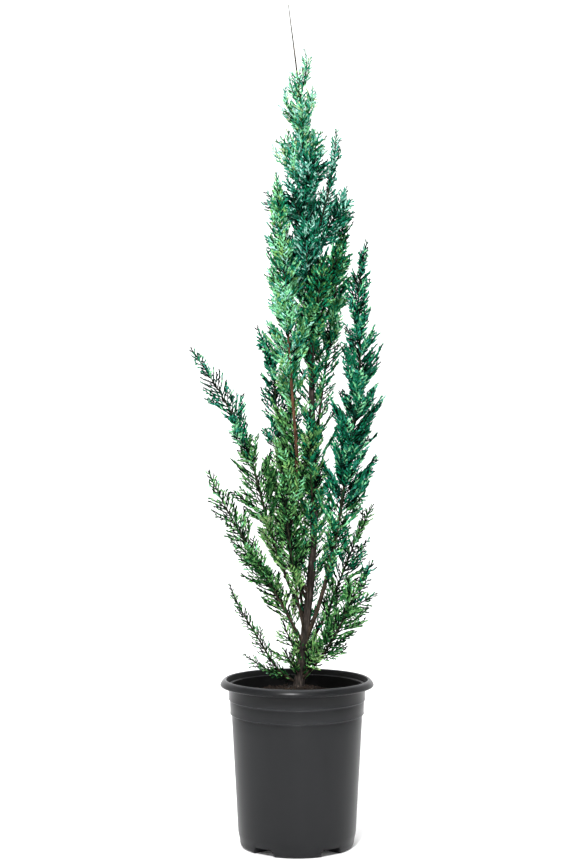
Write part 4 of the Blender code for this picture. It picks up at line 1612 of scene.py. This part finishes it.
@dataclass
class NurseryPot:
    """The round pot, with arcs on its lip and steps, and slanted drain pockets in its foot."""

    height: float = 0.1775
    rim_radius: float = 0.0825
    foot_radius: float = 0.0577
    floor: float = 0.0095
    foot_arc: tuple = (0.0035, 0.0050)
    wall_top: float = 0.1402
    wall_gap: float = 0.0006
    wall_foot: tuple = (0.0632, 0.0155)
    wall_head: float = 0.0702
    wall_steps: int = 8
    collar: float = 0.1552
    lip: float = 0.1690
    inner_foot: float = 0.0598
    inner_head: float = 0.0712
    pockets: int = 5
    pocket_height: float = 0.0075
    pocket_width: float = 0.0230
    pocket_depth: float = 0.0180
    pocket_slant: float = 0.0016
    pocket_draft: float = 0.0004
    pocket_front: float = 0.0060
    columns: int = 180
    # The inside plastic is rougher, and its darker colour is painted shade
    inside: MouldedPlastic = MouldedPlastic(
        "pot_plastic_inside",
        (0.0075, 0.0080, 0.0086),
        (0.0140, 0.0146, 0.0156),
        roughness=0.62,
        polished=0.66,
        specular=0.10,
    )

    def inner_radius(self, height: float) -> float:
        """Returns the inner wall's radius at a height."""
        share = (height - self.floor) / (self.lip - self.floor)
        return self.inner_foot + share * (self.inner_head - self.inner_foot)

    def foot_and_wall(self) -> list[tuple[float, float]]:
        """Works out the rounded foot and the flared wall up to the first collar.

        Returns:
            Radius and height of each row.
        """
        out, up = self.foot_arc
        turns = [math.radians(angle) for angle in range(0, 91, 15)]
        rows = [(self.foot_radius + out * math.sin(t), up * (1.0 - math.cos(t))) for t in turns]
        radius, height = self.wall_foot
        rows += [(0.0618, 0.0090), (0.0626, 0.0120), (radius, height)]
        out, up = self.wall_head - radius, self.wall_top - self.wall_gap - height
        for k in range(1, self.wall_steps + 1):
            rows.append((radius + out * k / self.wall_steps, height + up * k / self.wall_steps))
        return rows

    def outline(self) -> list[tuple[float, float, bool]]:
        """Works out the pot's profile from the foot over the lip and in.

        Returns:
            Radius and height of each row, and whether the inside plastic follows it: duller, and darker as
            painted shade.
        """
        below = self.step(self.wall_top, 0.0700, 0.0718) + [(0.0719, self.wall_top + 0.0060)]
        below += [(0.0722, self.collar - 0.0008)]
        below += self.step(self.collar, 0.0720, 0.0732) + [(0.0733, self.collar + 0.0050)]
        over_lip = (
            (0.0735, -0.0008), (0.0738, 0.0), (0.0760, 0.0003), (0.0800, 0.0007), (0.0817, 0.0011),
            (0.0823, 0.0017), (self.rim_radius, 0.0025), (0.0822, 0.0035),
        )
        under_top = (
            (0.0815, 0.0036), (0.0804, 0.0022), (0.0793, 0.0010), (0.0783, 0.0003), (0.0775, 0.0),
            (0.0767, 0.0002),
        )
        throat = ((0.0761, 0.0008), (0.0752, 0.0024), (0.0742, 0.0048))
        ledge = ((0.0736, 0.0060), (0.0722, 0.0063))
        lower = self.foot_and_wall() + below + [(radius, self.lip + rise) for radius, rise in over_lip]
        rows = [(*spot, False) for spot in lower]
        rows += [(radius, self.height - drop, False) for radius, drop in under_top]
        # The throat and the inner wall take the inside plastic, darker as painted shade
        rows += [(radius, self.height - drop, True) for radius, drop in throat]
        rows += [(radius, self.height - drop, False) for radius, drop in ledge]
        rows += [(0.0713, self.height - 0.0067, True)]
        for height in (self.lip - 0.0004, 0.1500, 0.1200, 0.0600, self.floor + 0.0020):
            rows.append((self.inner_radius(height), height, True))
        return rows + [(0.0575, self.floor, True)]

    @staticmethod
    def step(height: float, groove: float, edge: float) -> list[tuple[float, float]]:
        """Works out a collar's rounded lower edge over the fine groove that shades the wall.

        Args:
            height: Height of the groove.
            groove: Radius at the groove.
            edge: Radius of the collar.

        Returns:
            Radius and height of each row.
        """
        return [
            (groove, height),
            (edge - 0.0006, height + 0.0001),
            (edge + 0.0001, height + 0.0006),
            (edge + 0.0002, height + 0.0012),
            (edge, height + 0.0020),
        ]

    def pocket_off(self, turn: float) -> float:
        """Measures how far a bearing lies from the nearest pocket's middle.

        Args:
            turn: The bearing in radians.

        Returns:
            The distance along the foot's edge.
        """
        spread = FULL_TURN / self.pockets
        off = (turn + math.radians(90.0) - spread / 2.0) % spread
        return min(off, spread - off) * self.foot_radius

    def pocket_roof(self, turn: float) -> float:
        """Works out how high the drain pocket stands, with its slanted sides.

        Args:
            turn: The bearing in radians.

        Returns:
            The roof's height, or 0 between pockets.
        """
        inner = 0.5 * self.pocket_width - self.pocket_slant
        outer = 0.5 * self.pocket_width + self.pocket_slant
        share = (outer - self.pocket_off(turn)) / (outer - inner)
        return self.pocket_height * min(1.0, max(0.0, share))

    def column_turns(self) -> list[float]:
        """Places the mesh's columns, with close pairs at the pockets' sides.

        Returns:
            Their bearings in radians, in order.
        """
        turns = {round(FULL_TURN * k / self.columns, 5) for k in range(self.columns)}
        spread = FULL_TURN / self.pockets
        for k in range(self.pockets):
            centre = -math.radians(90.0) + spread / 2.0 + spread * k
            for slant in (-self.pocket_slant, self.pocket_slant):
                half = (0.5 * self.pocket_width + slant) / self.foot_radius
                turns.add(round((centre - half) % FULL_TURN, 5))
                turns.add(round((centre + half) % FULL_TURN, 5))
        return sorted(turns)

    def build(self) -> None:
        """Makes the pot's mesh column by column and settles it."""
        profile = self.outline()
        turns = self.column_turns()
        back = self.foot_radius - self.pocket_depth
        front = self.foot_radius - self.pocket_front
        vertices = [Vector((0.0, 0.0, 0.0))]
        for turn in turns:
            roof = self.pocket_roof(turn)
            rows = [(back, 0.0), (back + self.pocket_draft, roof), (front, roof)]
            rows += [(radius, max(height, roof)) for radius, height, _ in profile]
            for radius, height in rows:
                vertices.append(Vector((radius * math.cos(turn), radius * math.sin(turn), height)))
        vertices.append(Vector((0.0, 0.0, self.floor)))
        top = len(vertices) - 1
        faces = []
        for c in range(len(turns)):
            here = 1 + c * len(rows)
            there = 1 + ((c + 1) % len(turns)) * len(rows)
            faces.append((0, there, here))
            for r in range(len(rows) - 1):
                faces.append((here + r, there + r, there + r + 1, here + r + 1))
            faces.append((here + len(rows) - 1, there + len(rows) - 1, top))
        pot = mesh_object("pot_shell", vertices, faces, MouldedPlastic().make())
        pot.data.materials.append(self.inside.make())
        # The second material, darker as painted shade, goes on the inside rows
        foot = [0] * (1 + len(rows) - len(profile))
        column = foot + [int(dull_and_shaded) for _, _, dull_and_shaded in profile[:-1]] + [1]
        pot.data.polygons.foreach_set("material_index", column * len(turns))
        settle(pot, ["pot"])


@dataclass
class PottingMix:
    """The mix in the pot, mounded round the trunk, with chips strewn on it."""

    edge_height: float = 0.1580
    ground: float = 0.1690
    floor: float = 0.0098
    edge_radius: float = 0.0702
    floor_radius: float = 0.0592
    flat_radius: float = 0.012
    slope: float = 1.7
    slack: float = 0.0004
    sunk: float = 0.0006
    seed: int = 5
    lump_count: int = 140
    lump_spread: float = 0.07
    lump_sizes: tuple = (0.003, 0.010)
    lump_height: float = 0.12
    lump_ends: float = 6.0
    strewn_share: float = 0.975
    strewn_drop: float = 0.004
    rings: int = 40
    columns: int = 120
    peat: Crumb = Crumb("peat", (0.006, 0.005, 0.004), (0.022, 0.016, 0.012))
    chips: Crumb = Crumb("chips", (0.007, 0.005, 0.004), (0.040, 0.027, 0.018))

    def height_at(self, radius: float) -> float:
        """Works out the mound's height without its lumps.

        Args:
            radius: Distance from the middle.

        Returns:
            The height.
        """
        share = min(1.0, max(0.0, (radius - self.flat_radius) / (self.edge_radius - self.flat_radius)))
        fall = (self.ground - self.edge_height) * (1.0 - (1.0 - share) ** self.slope)
        return self.ground - self.slack - fall

    def bump_at(self, x: float, y: float, lumps: list[tuple]) -> float:
        """Works out how far the lumps raise the mound at a place.

        Args:
            x: The place's X.
            y: The place's Y.
            lumps: X, Y and size of each lump.

        Returns:
            The rise.
        """
        bump = 0.0
        for lump_x, lump_y, size in lumps:
            away = ((x - lump_x) ** 2 + (y - lump_y) ** 2) / (size * size)
            if away < self.lump_ends:
                bump += self.lump_height * size * math.exp(-away)
        return bump

    def build(self) -> None:
        """Makes the mound and its chips and settles them."""
        dice = random.Random(self.seed)
        lumps = []
        for _ in range(self.lump_count):
            x, y = (dice.uniform(-self.lump_spread, self.lump_spread) for _ in range(2))
            lumps.append((x, y, dice.uniform(*self.lump_sizes)))
        vertices = [Vector((0.0, 0.0, self.ground - self.slack))]
        faces = [(0, 1 + c, 1 + (c + 1) % self.columns) for c in range(self.columns)]
        for ring in range(1, self.rings + 1):
            radius = self.edge_radius * ring / self.rings
            for c in range(self.columns):
                turn = FULL_TURN * c / self.columns
                x = radius * math.cos(turn)
                y = radius * math.sin(turn)
                bump = self.bump_at(x, y, lumps) - self.sunk if ring < self.rings else 0.0
                vertices.append(Vector((x, y, self.height_at(radius) + bump)))
            first = 1 + (ring - 1) * self.columns
            faces += band_between(first, first + self.columns, self.columns)
        base = len(vertices)
        vertices += ring_of(self.floor_radius, self.floor, self.columns)
        faces.append(tuple(base + c for c in reversed(range(self.columns))))
        mound = mesh_object("mix_mound", vertices, faces, self.peat.make())
        settle(mound, ["soil"])
        strewn = place("mix_chips", self.top_patch(vertices, faces))
        crumb_sketch().grow(strewn, self.chips.make())
        settle(strewn, ["soil"])

    def top_patch(self, vertices: list, faces: list) -> Mesh:
        """Cuts out the part of the mound that chips lie on, just inside the wall.

        Args:
            vertices: The mound's points.
            faces: Its faces as rows of indices.

        Returns:
            The part as a mesh.
        """
        widest = self.edge_radius * self.strewn_share
        lowest = self.edge_height - self.strewn_drop
        on_top = [spot.xy.length < widest and spot.z > lowest for spot in vertices]
        keep = [face for face in faces if len(face) < 5 and all(on_top[i] for i in face)]
        mesh = bpy.data.meshes.new("mix_patch")
        mesh.from_pydata([tuple(v) for v in vertices], [], keep)
        mesh.update()
        return mesh


@dataclass(frozen=True)
class SoftLight:
    """A square soft light: where it hangs, the point it faces, its side in metres and its watts."""

    name: str
    at: tuple
    aim: tuple
    size: float
    power: float

    def hang(self) -> None:
        """Adds the light to the scene."""
        lamp = bpy.data.lights.new(self.name, "AREA")
        lamp.shape = "SQUARE"
        lamp.size = self.size
        lamp.energy = self.power
        obj = place(self.name, lamp)
        obj.location = self.at
        obj.rotation_euler = (Vector(self.aim) - Vector(self.at)).to_track_quat("-Z", "Y").to_euler()


@dataclass
class Studio:
    """The pale backdrop, the soft lights and the camera at the photograph's viewpoint."""

    focal_pixels: float = 1520.0
    frame_height_pixels: float = 864.0
    horizon_row: float = 450.0
    eye: tuple = (-0.0097, -1.6370, 0.4230)
    floor_radius: float = 3.0
    sweep: float = 1.2
    sweep_steps: int = 8
    wall: float = 4.0
    columns: int = 64
    air: float = 0.20
    lights: tuple = (
        SoftLight("key", (-0.40, -1.9, 2.4), (0.0, 0.0, 0.45), 0.5, 108.0),
        SoftLight("front", (0.0, -2.6, 0.60), (0.0, 0.0, 0.45), 0.5, 7.0),
        SoftLight("top", (0.0, 0.2, 3.4), (0.0, 0.2, 0.0), 3.0, 85.0),
        SoftLight("wall_wash", (0.0, 1.4, 3.2), (0.0, 4.2, 1.0), 2.4, 70.0),
    )

    def backdrop(self) -> None:
        """Makes a round floor that sweeps up into a wall."""
        vertices = ring_of(self.floor_radius, 0.0, self.columns)
        faces = [tuple(range(self.columns))]
        for k in range(1, self.sweep_steps + 1):
            turn = math.radians(90.0 * k / self.sweep_steps)
            radius = self.floor_radius + self.sweep * math.sin(turn)
            vertices += ring_of(radius, self.sweep * (1.0 - math.cos(turn)), self.columns)
        vertices += ring_of(self.floor_radius + self.sweep, self.wall, self.columns)
        for low in range(0, len(vertices) - self.columns, self.columns):
            faces += band_between(low, low + self.columns, self.columns)
        mesh_object("studio_sweep", vertices, faces, StudioPaper().make())

    def camera(self) -> None:
        """Sets up the camera."""
        data = bpy.data.cameras.new("view")
        data.sensor_fit = "AUTO"
        data.sensor_width = 36.0
        data.lens = self.focal_pixels / self.frame_height_pixels * data.sensor_width
        camera = place("view", data)
        camera.location = self.eye
        pitch = math.atan((self.horizon_row - self.frame_height_pixels / 2.0) / self.focal_pixels)
        camera.rotation_euler = (math.radians(90.0) + pitch, 0.0, 0.0)
        bpy.context.scene.camera = camera

    def build(self) -> None:
        """Builds the whole studio."""
        self.backdrop()
        self.camera()
        world = bpy.data.worlds.new("studio_air")
        world.use_nodes = True
        air = world.node_tree.nodes["Background"]
        air.inputs["Color"].default_value = (1.0, 1.0, 1.0, 1.0)
        air.inputs["Strength"].default_value = self.air
        bpy.context.scene.world = world
        for light in self.lights:
            light.hang()
        bpy.context.scene.view_settings.view_transform = "Standard"


def main() -> None:
    """Builds every sub-assembly in order and reports each piece."""
    logging.basicConfig(level=logging.INFO, format="%(name)s: %(message)s")
    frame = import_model()
    trunk = TrunkLine()
    stems = [Stem(shoot, trunk) for shoot in SHOOTS]
    NurseryPot().build()
    PottingMix().build()
    Woodwork(trunk).build(stems, frame)
    foliage = Foliage(trunk)
    foliage.grow(stems)
    foliage.clothe_trunk()
    foliage.dress(foliage_nodes(frame))
    Studio().build()


if __name__ == "__main__":
    main()
